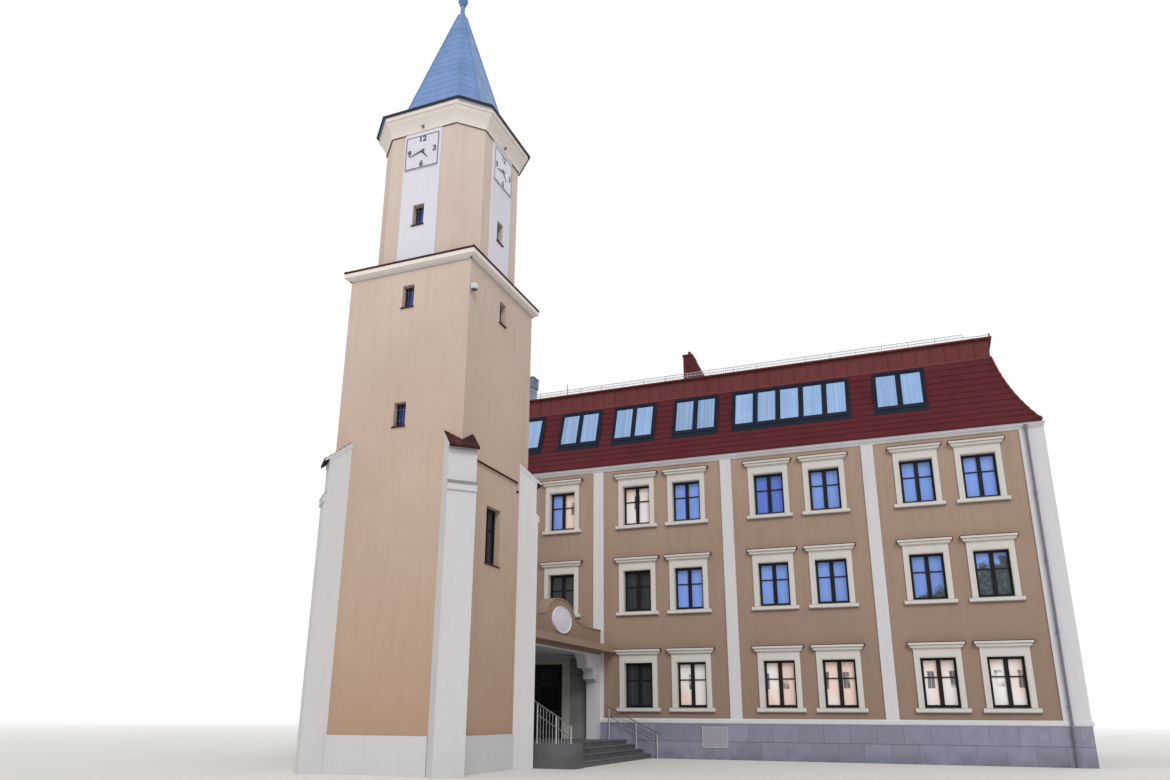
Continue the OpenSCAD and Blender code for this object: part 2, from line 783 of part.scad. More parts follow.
// Ventilation unit and lightning rod on the deck
module roof_fittings() {
    site() color("silver") translate([porch_x, 0, deck_z]) {
        translate([-vent_x, vent_y, 0]) cube([vent_w, vent_d, vent_h]);
        translate([-vent_x - vent_over, vent_y - vent_over, vent_h])
            cube([vent_w + 2 * vent_over, vent_d + 2 * vent_over, vent_cap_h]);
        translate([-20, rod_y, 0]) cylinder(r = 3 * rod_r, h = 120, $fn = FINE);
        translate([-20, rod_y, 0]) cylinder(r = rod_r, h = rod_h, $fn = FINE);
    }
}

// The tower: a square shaft with buttresses on its diagonals
module shaft_block(z0, z1) { translate([-half, -half, z0]) cube([shaft_w, shaft_w, z1 - z0]); }

// Places children at the small windows of the shaft's four sides and the large ones of two.
module at_slits() {
    for (k = [0 : 3]) rotate(90 * k) {
        for (z = k % 2 == 0 ? [slit_low, slit_up] : [slit_up]) {
            $w = slit_w;
            $h = slit_h;
            translate([0, -half, z]) children();
        }
        if (k % 2 == 1) {
            $w = loft_w;
            $h = loft_h;
            translate([0, panel_in - half, loft_z]) children();
        }
    }
}

module slit_hole() { translate([-$w / 2, -panel_in - eps, 0]) cube([$w, shaft_t + 2 * panel_in, $h]); }

module tower_front_back() {
    site() tower() color("wheat") difference() {
        for (k = [0, 2]) rotate(90 * k) translate([-half, -half, 0]) cube([shaft_w, shaft_t, shaft_h]);
        at_slits() slit_hole();
    }
}

// The sunk panel of a side reaches from buttress to buttress and narrows between two corbels.
panel_half = half - butt_w * sqrt(0.5);
module tower_sides() {
    site() tower() color("tan") difference() {
        for (k = [1, 3]) rotate(90 * k) translate([shaft_t - half, -half, 0])
            cube([shaft_w - 2 * shaft_t, shaft_t, shaft_h]);
        at_slits() slit_hole();
        for (k = [1, 3]) rotate(90 * k) translate([0, panel_in - half, 0]) rotate([90, 0, 0])
            linear_extrude(panel_in + eps) for (s = [-1, 1]) scale([s, 1])
                polygon([[-eps, foot_h], [panel_half, foot_h], [panel_half, panel_h - corbel_h],
                    [panel_half - corbel_w, panel_h - corbel_h], [panel_half - corbel_w, panel_h],
                    [-eps, panel_h]]);
    }
}

module tower_foot() {
    w = 2 * (half - butt_w * sqrt(0.5));
    site() tower() color("white") for (k = [0, 1, 3]) rotate(90 * k)
        translate([-w / 2, -half - foot_out, 0]) cube([w, foot_out, foot_h]);
}

module tower_floor() {
    site() tower() color("gray") translate([shaft_t - half, shaft_t - half, shaft_h - floor_t])
        cube([shaft_w - 2 * shaft_t, shaft_w - 2 * shaft_t, floor_t]);
}

function cap_at(n) = cap_z + (cap_out - n) * cap_pitch;

// Profile [outwards, up] drawn along the diagonal of each corner and as wide as w.
module on_corners(w) {
    difference() {
        for (k = [0 : 3]) rotate(90 * k) translate([-half, -half, 0]) rotate(225)
            rotate([90, 0, 0]) linear_extrude(w, center = true) children();
        shaft_block(-eps, shaft_h);
    }
}

module buttresses() {
    back = butt_w / 2;
    nose = butt_low + nose_out;
    site() tower() color("whitesmoke") on_corners(butt_w) polygon([[-back, 0], [butt_low, 0],
        [butt_low, ledge_z], [nose, ledge_z], [nose, ledge_z + nose_h],
        [butt_high, ledge_z + nose_h + nose - butt_high], [butt_high, cap_at(butt_high) - cap_t],
        [-back, cap_at(-back) - cap_t]]);
    n0 = butt_high + verge_out;
    n1 = -back - verge_out;
    low = cap_t + verge_h;
    site() tower() color("whitesmoke") on_corners(butt_w + 2 * verge_out)
        polygon([[n0, cap_at(n0) - low], [n0, cap_at(n0) - cap_t],
            [n1, cap_at(n1) - cap_t], [n1, cap_at(n1) - low]]);
}

module tile_caps() {
    back = butt_w / 2 + cap_lip;
    site() tower() color("sienna") {
        on_corners(butt_w + 2 * cap_lip) polygon([[cap_out, cap_z - cap_t], [cap_out, cap_z],
            [-back, cap_at(-back)], [-back, cap_at(-back) - cap_t]]);
        difference() {
            loft(shaft_path, [[belt_out, shaft_h], [belt_out, shaft_h + 30], [-stage_in, shaft_h + slope_h]]);
            translate([0, 0, shaft_h - eps]) linear_extrude(slope_h + 2 * eps) polygon(stage_path(0));
        }
    }
}

module tower_cornice() {
    z = shaft_h - belt_h;
    site() tower() color("white") moulding(shaft_path, [[0, z], [30, z], [40, z + 25],
        [belt_out * 0.55, z + belt_h * 0.18], [belt_out * 0.8, z + belt_h * 0.3],
        [belt_out, z + belt_h * 0.32], [belt_out, shaft_h], [0, shaft_h]]);
}

module tower_window_frames() {
    site() tower() color("saddlebrown") {
        at_slits() translate([0, frame_back + frame_t, 0]) casement($w, $h, slit_frame, $w > 600 ? 80 : 0);
        four_sides() translate([0, frame_back + frame_t - stage_half, shaft_h + slot_up])
            casement(slit_w, slit_h, slit_frame, 0);
    }
}

module tower_window_glass() {
    site() tower() color("skyblue") {
        at_slits() translate([-$w / 2, frame_back + frame_t, 0]) cube([$w, glass_t, $h]);
        four_sides() translate([-slit_w / 2, frame_back + frame_t - stage_half, shaft_h + slot_up])
            cube([slit_w, glass_t, slit_h]);
    }
}

module dome_camera() {
    reach = cam_r + 15;
    site() tower() color("white") translate([half, cam_r / 2 - half, shaft_h - cam_drop]) {
        translate([0, -30, cam_r * 0.6]) cube([reach, 60, 60]);
        translate([reach, 0, 0]) cylinder(r = cam_r, h = cam_r, $fn = FINE);
        translate([reach, 0, 0]) sphere(r = cam_r, $fn = 24);
    }
}

// The octagonal clock stage and its spire
module slot_holes() {
    four_sides() translate([-slit_w / 2, -stage_half - strip_t - eps, shaft_h + slot_up])
        cube([slit_w, stage_t + strip_t + 2 * eps, slit_h]);
}

module clock_stage() {
    site() tower() color("wheat") difference() {
        translate([0, 0, shaft_h]) linear_extrude(stage_h) difference() {
            polygon(stage_path(0));
            polygon(stage_path(-stage_t));
        }
        slot_holes();
    }
}

module clock_strips() {
    z = shaft_h + slope_h;
    site() tower() color("white") difference() {
        four_sides() translate([-strip_w / 2, -stage_half - strip_t, z])
            cube([strip_w, strip_t, crest_z - z]);
        slot_holes();
    }
}

module stage_cornice() {
    shape = [[0.11, 0], [0.14, 0.07], [0.28, 0.24], [0.52, 0.44], [0.76, 0.6], [0.84, 0.68], [0.85, 0.74],
        [1, 0.76], [1, 1]];
    site() tower() color("ivory") moulding(stage_path, concat([[0, crest_z]],
        [for (p = shape) [p[0] * crest_out, crest_z + p[1] * crest_h]], [[0, stage_top]]));
}

module spire() {
    eaves = stage_half + spire_out;
    lean = (eaves - flare_in - tip_r) / spire_h;
    inner = stage_half - stage_t;
    inner_z = (eaves - flare_in - spire_t - inner) / lean;
    inner_tip = tip_r / 3;
    site() tower() color("slategray") {
        difference() {
            translate([0, 0, stage_top]) loft(spire_path, [[eaves, 0], [eaves, 40],
                [eaves - flare_in * 0.7 - lean * flare_h * 0.45, flare_h * 0.45],
                [eaves - flare_in - lean * flare_h, flare_h], [tip_r, spire_h]]);
            translate([0, 0, stage_top]) loft(spire_path, [[inner, -eps], [inner, inner_z],
                [inner_tip, inner_z + (inner - inner_tip) / lean]]);
        }
        translate([0, 0, stage_top + spire_h]) {
            translate([0, 0, -eps]) cylinder(r = tip_r, h = 40 + eps, $fn = FINE);
            cylinder(r = ball_r * 0.45, h = ball_up, $fn = FINE);
            translate([0, 0, ball_up - ball_r - 30]) cylinder(r = ball_r * 0.65, h = 60, $fn = FINE);
            translate([0, 0, ball_up]) sphere(r = ball_r, $fn = 24);
        }
    }
}

// Children drawn on a dial's face: x across, y outwards as -y, z up, 0 at the spindle.
module on_dial(k) { site() tower() rotate(90 * k) translate([0, dial_y, dial_z]) children(); }
module disc(r, y0, y1) { translate([0, -y0, 0]) rotate([90, 0, 0]) cylinder(r = r, h = y1 - y0, $fn = FINE); }

module clock_dials() {
    color("white") for (k = [0 : 3]) on_dial(k) {
        translate([-dial_w / 2, 0, -dial_w / 2]) cube([dial_w, dial_t, dial_w]);
        disc(spindle_r, 0, 3 * hand_gap + 2 * hand_t + 8);
        disc(spindle_r + 10, 3 * hand_gap + 2 * hand_t, 3 * hand_gap + 2 * hand_t + 8);
    }
}

// Tapered hand with a round hub bored for the spindle, turned to its hour.
module hand(length, wide, tail, level, turn) {
    y0 = hand_gap + level * (hand_gap + hand_t);
    rotate([0, turn, 0]) difference() {
        union() {
            translate([0, -y0, 0]) rotate([90, 0, 0]) linear_extrude(hand_t)
                polygon([[-wide / 2, -tail], [wide / 2, -tail], [wide / 2, 0], [wide / 5, length],
                    [-wide / 5, length], [-wide / 2, 0]]);
            disc(spindle_r + 18, y0, y0 + hand_t);
        }
        disc(spindle_r + 0.4, y0 - eps, y0 + hand_t + eps);
    }
}
module minute_hand(k) { color("black") on_dial(k) hand(minute_l, 44, 110, 1, minute_a); }
module hour_hand(k) { color("dimgray") on_dial(k) hand(hour_l, 60, 80, 0, hour_a); }
module minute_hand_front() { minute_hand(0); }
module hour_hand_front() { hour_hand(0); }
module minute_hand_right() { minute_hand(1); }
module hour_hand_right() { hour_hand(1); }
module minute_hand_back() { minute_hand(2); }
module hour_hand_back() { hour_hand(2); }
module minute_hand_left() { minute_hand(3); }
module hour_hand_left() { hour_hand(3); }

// What stands at the tower's back: its shaft and its two buttresses.
module tower_mass() {
    tower() {
        shaft_block(-eps, shaft_h);
        for (k = [2, 3]) rotate(90 * k) translate([-half, -half, 0]) rotate(225)
            translate([-butt_w, -butt_w / 2, -eps]) cube([butt_w + butt_low, butt_w, cap_z - 2 * cap_t]);
    }
}

porch_l = tower_gap - relief;
porch_mid = -tower_gap / 2;
// Gable outline from its middle: [distance, height above the underside]
gable_half = [[0, crest_up], [300, crest_up - 12], [560, crest_up - 50], [800, crest_up - 130],
    [1000, crest_up - 250], [1180, crest_up - 400], [1320, shoulder_up + 190], [1480, shoulder_up + 125],
    [1700, shoulder_up + 95], [1800, shoulder_up + 80], [2080, shoulder_up + 60],
    [2100, shoulder_up - 20], [2200, shoulder_up - 5]];
gable_line = concat([[-porch_mid - relief, 0], [-porch_mid - relief, shoulder_up]],
    [for (i = [len(gable_half) - 1 : -1 : 0]) gable_half[i]],
    [for (i = [1 : len(gable_half) - 1]) [-gable_half[i][0], gable_half[i][1]]],
    [[porch_mid, shoulder_up], [porch_mid, 0]]);

// Outline in [y from the porch's middle, z] extruded from x to x + t.
module across(x, t) { translate([x, porch_mid, 0]) rotate([90, 0, 90]) linear_extrude(t) children(); }

module porch_gable() {
    site() color("tan") difference() {
        union() {
            translate([0, 0, soffit_z]) across(gable_x - gable_t, gable_t) polygon(gable_line);
            translate([0, 0, soffit_z + shoulder_up + 15]) across(gable_x, 45)
                polygon([for (a = [0 : 7.5 : 352.5]) [oval_a * cos(a), oval_b * sin(a)]]);
        }
        tower_mass();
    }
}

// Pier and stepped bracket, from the wall's face at d = 0 outwards.
module pier_shape() {
    z = soffit_z - bracket_h;
    d = pier_w;
    l = bracket_l;
    x1 = d + l * 0.22;
    z1 = z + bracket_h * 0.24;
    r1 = l * 0.2;
    r2 = l * 0.36;
    z2 = z1 + r1 * 0.75 + 20;
    polygon(concat([[0, floor_1], [d, floor_1], [d, z], [x1, z + bracket_h * 0.1], [x1, z1]],
        [for (a = [0 : 15 : 90]) [x1 + r1 * (1 - cos(a)), z1 + r1 * 0.75 * sin(a)]],
        [[d + l * 0.62, z2]],
        [for (a = [0 : 15 : 90]) [d + l - r2 * cos(a), soffit_z - (soffit_z - z2) * (1 - sin(a))]],
        [[0, soffit_z]]));
}

module porch_piers() {
    site() color("ivory") difference() {
        union() {
            for (m = [0, 1]) translate([gable_x - gable_t, m == 1 ? -relief : -tower_gap, 0])
                rotate([90, 0, 90]) linear_extrude(gable_t) scale([1 - 2 * m, 1]) pier_shape();
        }
        tower_mass();
    }
}

// The side away from the stair, and the piece of front wall between it and the tower
module porch_closed_walls() {
    x = porch_x - porch_half;
    site() color("tan") difference() {
        union() {
            translate([0, 0, soffit_z]) across(x, gable_t) polygon(gable_line);
            translate([x, -tower_gap, 0]) cube([gable_t, porch_l, soffit_z]);
            translate([x, -tower_gap, 0]) cube([tower_x - half - x, gable_t, soffit_z + shoulder_up]);
        }
        tower_mass();
    }
}

module porch_canopy() {
    inner = porch_half - gable_t;
    site() color("ivory") difference() {
        union() {
            translate([porch_x - inner, -tower_gap, soffit_z]) cube([2 * inner, tower_gap, canopy_t]);
            translate([gable_x, -relief, soffit_z + 80]) rotate([90, 0, 0]) linear_extrude(porch_l)
                polygon([[0, 0], [ledge_out, 0], [ledge_out, ledge_h], [0, ledge_h + 100]]);
        }
        tower_mass();
        translate([porch_x - inner - eps, -tower_gap - eps, 0])
            cube([tower_x - half - porch_x + inner + eps, gable_t + eps, wall_h]);
    }
}

module entrance_steps() {
    inner = porch_half - gable_t;
    wide = -flank_y - flank_t - plinth_out;
    site() color("darkgray") difference() {
        union() {
            translate([porch_x - inner, -tower_gap, 0]) cube([inner + porch_half, tower_gap, floor_1]);
            translate([gable_x, flank_y + flank_t, 0]) cube([landing, wide, floor_1]);
            for (i = [1 : risers - 1]) translate([stair_x, flank_y + flank_t, 0])
                cube([i * tread, wide, floor_1 - i * riser]);
            translate([door_x, 0, 0]) cube([door_w, wall_t, floor_1]);
        }
        tower_mass();
        translate([porch_x - inner - eps, -tower_gap - eps, -eps])
            cube([tower_x - half - porch_x + inner + eps, gable_t + eps, floor_1 + 2 * eps]);
    }
}

stair_end = stair_x + (risers - 1) * tread;
module stair_flank() {
    site() color("lightgray") difference() {
        translate([gable_x, flank_y, 0]) cube([stair_end + 110 - gable_x, flank_t, floor_1 + flank_up]);
        tower_mass();
    }
}

// Sloped flat rail from [x, z] to [x, z], as wide as a post.
module sloped(a, b, h) {
    translate([0, rail_d / 2, 0]) rotate([90, 0, 0]) linear_extrude(rail_d)
        polygon([a - [0, h], b - [0, h], b, a]);
}

// Handrail and lower rail over posts at x = a, b and near their middle; foot(x) gives what each stands on.
module railing(a, b, z0, fall, foot) {
    top = function (x) z0 - (x - a) * fall;
    sloped([a - rail_over, top(a - rail_over)], [b + rail_over, top(b + rail_over)], rail_d);
    sloped([a, top(a) - rail_drop], [b, top(b) - rail_drop], rail_d * 0.7);
    for (x = [a, a + (b - a) * 0.567, b]) translate([x, 0, foot(x)])
        cylinder(d = rail_d, h = top(x) - rail_d / 2 - foot(x), $fn = FINE);
}

// Where the line of the near railing leaves the buttress behind it
butt_clear = tower_x + half + (butt_low + rail_d) * sqrt(2) - flank_in - near_in;

module stair_railings() {
    on_steps = function (x) x < stair_x ? floor_1 : max(0, floor_1 - ceil((x - stair_x) / tread) * riser);
    on_flank = function (x) floor_1 + flank_up;
    site() color("black") {
        translate([0, flank_y + near_in, 0])
            railing(max(stair_x - near_back, butt_clear + rail_over), stair_end - near_short,
                floor_1 + flank_up + rail_h, near_fall, on_flank);
        translate([0, -far_in, 0])
            railing(stair_x - far_back, stair_end + far_past, floor_1 + rail_h, far_fall, on_steps);
    }
}

// Hinges stand in front of the gap beside a leaf: a pin on the frame, a bored knuckle on the leaf.
hinge_r = 11;
pin_r = 5;
knuckle_h = 50;
hinge_zs = [180, 1050, leaf_h - 260];
module at_hinges() {
    for (z = hinge_zs) translate([-door_gap / 2, -hinge_r - 1, z]) children();
}

module hinge_frame_half() {
    cylinder(r = hinge_r, h = knuckle_h, $fn = FINE);
    cylinder(r = pin_r, h = 2 * knuckle_h, $fn = FINE);
    translate([-30, 0, 0]) cube([30, hinge_r + 1, knuckle_h]);
}

module hinge_leaf_half() {
    translate([0, 0, knuckle_h + 1]) difference() {
        union() {
            cylinder(r = hinge_r, h = knuckle_h - 1, $fn = FINE);
            cube([30, hinge_r + 1, knuckle_h - 1]);
        }
        translate([0, 0, -eps]) cylinder(r = pin_r + 0.3, h = knuckle_h + 2 * eps, $fn = FINE);
    }
}

module entrance_frame() {
    clear = door_w - 2 * door_jamb;
    color("saddlebrown") {
        site() translate([porch_x, door_y + door_deep, floor_1]) rotate([90, 0, 0])
            linear_extrude(door_deep) difference() {
                translate([-door_w / 2, 0]) square([door_w, lintel_z - floor_1]);
                translate([-clear / 2, -eps]) square([clear, head_z - floor_1 + eps]);
                translate([-clear / 2, head_z + door_jamb - floor_1])
                    square([clear, lintel_z - head_z - 2 * door_jamb]);
            }
        at_left_leaf() at_hinges() hinge_frame_half();
        at_right_leaf() at_hinges() hinge_frame_half();
    }
}

// Leaf drawn from its hinge edge along +x, with its outer face at y = 0.
leaf_stile = 130;
leaf_kick = 320;
module leaf_light(t) {
    translate([leaf_stile, leaf_t / 2 - t / 2, leaf_kick])
        cube([leaf_w - 2 * leaf_stile, t, leaf_h - leaf_kick - leaf_stile]);
}

module leaf() {
    difference() {
        cube([leaf_w, leaf_t, leaf_h]);
        leaf_light(leaf_t + 2 * eps);
    }
    at_hinges() hinge_leaf_half();
    // pull handle on two stand-offs
    translate([leaf_w - leaf_stile / 2, -70, handle_z]) cylinder(r = 16, h = handle_l, $fn = FINE);
    for (z = [100, handle_l - 100]) translate([leaf_w - leaf_stile / 2, 0, handle_z + z]) rotate([90, 0, 0])
        cylinder(r = 10, h = 70, $fn = FINE);
}

module at_left_leaf() { site() translate([door_x + door_jamb + door_gap, door_y, leaf_z]) children(); }
module at_right_leaf() {
    site() translate([door_x + door_w - door_jamb - door_gap, door_y, leaf_z]) mirror([1, 0, 0]) children();
}
module door_leaf_left() { color("darkslategray") at_left_leaf() leaf(); }
module door_leaf_right() { color("darkslategray") at_right_leaf() leaf(); }
module door_glass_left() { color("skyblue") at_left_leaf() leaf_light(glass_t); }
module door_glass_right() { color("skyblue") at_right_leaf() leaf_light(glass_t); }

ground_wall_left();
ground_wall_right();
upper_front_wall();
back_wall();
end_walls();
floors();
plinth();
plinth_band();
pilasters();
window_surrounds();
window_frames();
window_glass();
eaves_cornice();
downpipes();
notice_board();
mansard_front();
mansard_back();
mansard_ends();
roof_crown();
roof_deck();
roof_light_frames();
roof_light_glass();
snow_guard();
chimney();
roof_fittings();
tower_front_back();
tower_sides();
tower_foot();
tower_floor();
buttresses();
tile_caps();
tower_cornice();
tower_window_frames();
tower_window_glass();
dome_camera();
clock_stage();
clock_strips();
stage_cornice();
spire();
clock_dials();
minute_hand_front();
hour_hand_front();
minute_hand_right();
hour_hand_right();
minute_hand_back();
hour_hand_back();
minute_hand_left();
hour_hand_left();
porch_gable();
porch_piers();
porch_closed_walls();
porch_canopy();
entrance_steps();
stair_flank();
stair_railings();
entrance_frame();
door_leaf_left();
door_leaf_right();
door_glass_left();
door_glass_right();
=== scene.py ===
"""Town hall with a clock tower: studio, finishes and fine pieces around the built frame.

Sizes are in metres. A field with several values lists them in the order in which its method unpacks them.
"""

import functools
import itertools
import logging
import math
import random
from dataclasses import dataclass, field
from enum import Enum, IntEnum
from typing import Callable, Iterator, Sequence

import bmesh
import bpy
from mathutils import Matrix, Vector


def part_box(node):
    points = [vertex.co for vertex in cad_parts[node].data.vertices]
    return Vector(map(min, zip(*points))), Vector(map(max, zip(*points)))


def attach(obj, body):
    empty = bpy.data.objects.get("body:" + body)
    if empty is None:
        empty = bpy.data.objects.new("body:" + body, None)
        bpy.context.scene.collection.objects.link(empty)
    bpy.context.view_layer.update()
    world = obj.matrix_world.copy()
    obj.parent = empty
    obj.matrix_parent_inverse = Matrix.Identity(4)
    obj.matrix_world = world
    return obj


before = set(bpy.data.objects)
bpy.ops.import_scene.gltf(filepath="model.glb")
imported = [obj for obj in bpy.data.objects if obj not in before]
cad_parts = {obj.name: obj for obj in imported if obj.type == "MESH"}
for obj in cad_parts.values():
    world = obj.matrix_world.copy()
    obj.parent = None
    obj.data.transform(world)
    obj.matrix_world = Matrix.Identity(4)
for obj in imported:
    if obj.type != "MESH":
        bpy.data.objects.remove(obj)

LOG = logging.getLogger("town_hall")
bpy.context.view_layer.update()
HOUSE = "building"
OCTAGON_MITRE = 2 - math.sqrt(2)
GABLE_LIP = 0.045
BLOCK_FACES = [(0, 1, 3, 2), (4, 6, 7, 5), (0, 4, 5, 1), (2, 3, 7, 6), (0, 2, 6, 4), (1, 5, 7, 3)]
Socket = bpy.types.NodeSocket
Value = float | Socket
Pair = tuple[float, float]
Triple = tuple[float, float, float]
Colour = tuple[float, float, float, float]
Paint = Colour | Socket


def low(node: str) -> Vector:
    """Lowest corner of a built node."""
    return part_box(node)[0]


def high(node: str) -> Vector:
    """Highest corner of a built node."""
    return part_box(node)[1]


# The drawing grid: x = 0 at the block's right corner, y = 0 on its front wall, z = 0 on the ground.
ORIGIN = Vector((high("ground_wall_right").x, low("upper_front_wall").y, 0.0))


def corners(node: str) -> tuple[Vector, Vector]:
    """Lowest and highest corner of a built node on the drawing grid."""
    return low(node) - ORIGIN, high(node) - ORIGIN


def shift(x: float, y: float, z: float) -> Matrix:
    """Move by x, y and z."""
    return Matrix.Translation((x, y, z))


def turn(degrees: float, axis: str = "Z") -> Matrix:
    """Turn about one axis."""
    return Matrix.Rotation(math.radians(degrees), 4, axis)


def mirrored(start: float, end: float) -> tuple[Pair, Pair]:
    """Mirror image of a span along x, and the span."""
    return (-end, -start), (start, end)


def between(start: float, end: float, count: int) -> list[float]:
    """Values that part a span into equal shares, without its ends."""
    return [start + (end - start) * i / count for i in range(1, count)]


def circle(sides: int) -> list[Pair]:
    """Cosine and sine of evenly spread angles."""
    return [(math.cos(2 * math.pi * k / sides), math.sin(2 * math.pi * k / sides)) for k in range(sides)]


def strip(inner: float, out: float, bottom: float, top: float) -> list[Pair]:
    """Profile of a flat strip: its corners, each as distance outwards and height."""
    return [(inner, bottom), (out, bottom), (out, top), (inner, top)]


def linear(code: str, gain: float = 1.0) -> Colour:
    """Scene colour of a written one.

    Args:
        code: The colour as six hex digits, as it should look on screen.
        gain: Factor on its lightness.

    Returns:
        Red, green, blue and alpha in scene values.
    """
    parts = [int(code[i:i + 2], 16) / 255 for i in (0, 2, 4)]
    light = [p / 12.92 if p <= 0.04045 else ((p + 0.055) / 1.055) ** 2.4 for p in parts]
    red, green, blue = (min(1.0, v * gain) for v in light)
    return (red, green, blue, 1.0)


class Tree:
    """A node tree, grown by short calls."""

    def __init__(self, tree: bpy.types.NodeTree) -> None:
        """Take a tree over."""
        self.tree = tree

    def feed(self, socket: Socket, value: Value | Paint | Triple | None) -> None:
        """Give a socket its input.

        Args:
            socket: The socket.
            value: Another socket to link, a value to set, or None to leave it alone.
        """
        if isinstance(value, bpy.types.NodeSocket):
            self.tree.links.new(value, socket)
        elif value is not None:
            socket.default_value = value

    def node(self, kind: str, inputs: dict[str | int, Value | Paint | Triple | None] | None = None,
             output: str | int = 0, **settings: object) -> Socket:
        """Add a node.

        Args:
            kind: Its type, without the first words that all types share.
            inputs: What its inputs get, by name or number.
            output: Name or number of the output to give back.
            settings: Properties to set on it.

        Returns:
            That output.
        """
        made = self.tree.nodes.new("ShaderNode" + kind)
        for key, value in settings.items():
            setattr(made, key, value)
        for key, value in (inputs or {}).items():
            self.feed(made.inputs[key], value)
        return made.outputs[output]

    def math(self, operation: str, first: Value, second: Value = 0.0) -> Socket:
        """Result of one arithmetic operation on two values."""
        return self.node("Math", {0: first, 1: second}, operation=operation)

    def remap(self, value: Value, start: float, end: float, top: float = 1.0) -> Socket:
        """Stretch and clamp a value, so that start becomes 0 and end becomes top."""
        return self.node("MapRange", {"Value": value, "From Min": start, "From Max": end, "To Max": top})


class Shader(Tree):
    """One material's node tree, with what the finishes are mixed from."""

    def __init__(self, name: str) -> None:
        """Start from a plain surface.

        Args:
            name: Name of the material.
        """
        self.material = bpy.data.materials.new(name)
        self.material.use_nodes = True
        super().__init__(self.material.node_tree)
        self.surface = self.tree.nodes["Principled BSDF"]
        self.spot = self.node("TexCoord", output="Object")
        self.x, self.y, self.height = self.node("SeparateXYZ", {0: self.spot}).node.outputs

    def noise(self, size: float | Triple, detail: float = 3.0) -> Socket:
        """Soft noise.

        Args:
            size: Size of its patches in metres, one for all axes or one for each.
            detail: Number of finer layers.

        Returns:
            A value near one half.
        """
        sizes = size if isinstance(size, tuple) else (size, size, size)
        spot = self.node("Mapping", {"Vector": self.spot, "Scale": tuple(1 / s for s in sizes)})
        return self.node("TexNoise", {"Vector": spot, "Scale": 1.0, "Detail": detail})

    def tone(self) -> Socket:
        """The value from 0 to 1 that each small part of a piece carries."""
        return self.node("Attribute", output="Fac", attribute_name="tone")

    def mix(self, share: Value, first: Paint, second: Paint) -> Socket:
        """Blend of two colours, with share as the second one's part."""
        return self.node("Mix", {0: share, 6: first, 7: second}, 2, data_type="RGBA")

    def patch(self, base: Paint, size: float | Triple, detail: float, reach: Triple, cover: Paint) -> Socket:
        """Lay patches of a colour over another: reach is where they start and end in the noise, and their share."""
        return self.mix(self.remap(self.noise(size, detail), *reach), base, cover)

    def bump(self, relief: Socket, depth: float, over: Socket | None = None) -> Socket:
        """Normal bumped by a relief from 0 to 1, with its depth in metres, over another bumped normal."""
        return self.node("Bump", {"Distance": depth, "Height": relief, "Normal": over})

    def close(self, colour: Paint, roughness: Value, normal: Socket | None = None,
              gloss: float = 0.3, metal: float = 0.0) -> None:
        """Connect the surface.

        Args:
            colour: Base colour.
            roughness: Roughness, a number or a socket.
            normal: Bumped normal.
            gloss: Strength of its highlights.
            metal: How metallic it is.
        """
        given = {"Base Color": colour, "Roughness": roughness, "Normal": normal,
                 "Specular IOR Level": gloss, "Metallic": metal}
        for key, value in given.items():
            self.feed(self.surface.inputs[key], value)


@dataclass(frozen=True)
class Finish:
    """What every finish has: its name, its slot in the record, its colour, roughness and gloss."""

    name: str
    slot: str
    colour: str
    roughness: float = 0.85
    gloss: float = 0.25

    def tint(self, gain: float = 1.0) -> Colour:
        """Its colour, lighter or darker by a factor."""
        return linear(self.colour, gain)

    def paint(self, s: Shader) -> None:
        """Grow the node tree of this finish."""
        raise NotImplementedError

    @functools.cache
    def material(self) -> bpy.types.Material:
        """Make the material, once.

        Returns:
            The material.
        """
        shader = Shader(self.name)
        self.paint(shader)
        return shader.material


@dataclass(frozen=True)
class Plaster(Finish):
    """Painted mineral render: deeper near the ground, with clouds, grain, rain runs and soil."""

    deep: str = ""
    span: Pair = (1.0, 12.0)
    runs: float = 0.25
    soil: float = 0.25
    soil_top: float = 1.4

    def paint(self, s: Shader) -> None:
        """Grow the node tree.

        Args:
            s: The tree.
        """
        deep = self.deep or self.colour
        clouds, glare = (3.5, (0.3, 0.75, 0.24), linear(deep, 0.85)), (2.6, (0.45, 0.75, 0.07), self.tint(1.2))
        grain = (0.03, (0.3, 0.7, 0.24), linear(deep, 0.8))
        rain = ((0.2, 0.2, 3.0), (0.52, 0.8, self.runs), linear(deep, 0.72))
        base = s.mix(s.remap(s.height, *self.span), linear(deep), self.tint())
        for size, reach, cover in (clouds, glare, grain, rain):
            base = s.patch(base, size, 3, reach, cover)
        ground = s.math("MULTIPLY", s.remap(s.height, self.soil_top, 0.0, self.soil),
                        s.remap(s.noise((0.9, 0.9, 0.4), 4), 0.2, 0.8))
        normal = s.bump(s.noise(0.02, 2), 0.0015, s.bump(s.noise(0.6, 2), 0.003))
        s.close(s.mix(ground, base, linear(deep, 0.45)), self.roughness, normal, self.gloss)


@dataclass(frozen=True)
class Slab(Finish):
    """Sawn stone slabs, each with its own tone, mottled and stained from below."""

    def paint(self, s: Shader) -> None:
        """Grow the node tree.

        Args:
            s: The tree.
        """
        base = s.mix(s.tone(), self.tint(0.86), self.tint(1.1))
        base = s.patch(base, 0.3, 5, (0.4, 0.75, 0.5), self.tint(0.74))
        base = s.patch(base, 0.03, 2, (0.55, 0.8, 0.35), self.tint(1.35))
        damp = s.math("MULTIPLY", s.remap(s.height, 0.5, 0.0), s.remap(s.noise(0.5), 0.3, 0.7))
        s.close(s.mix(damp, base, self.tint(0.55)), self.roughness, s.bump(s.noise(0.05, 4), 0.003), self.gloss)


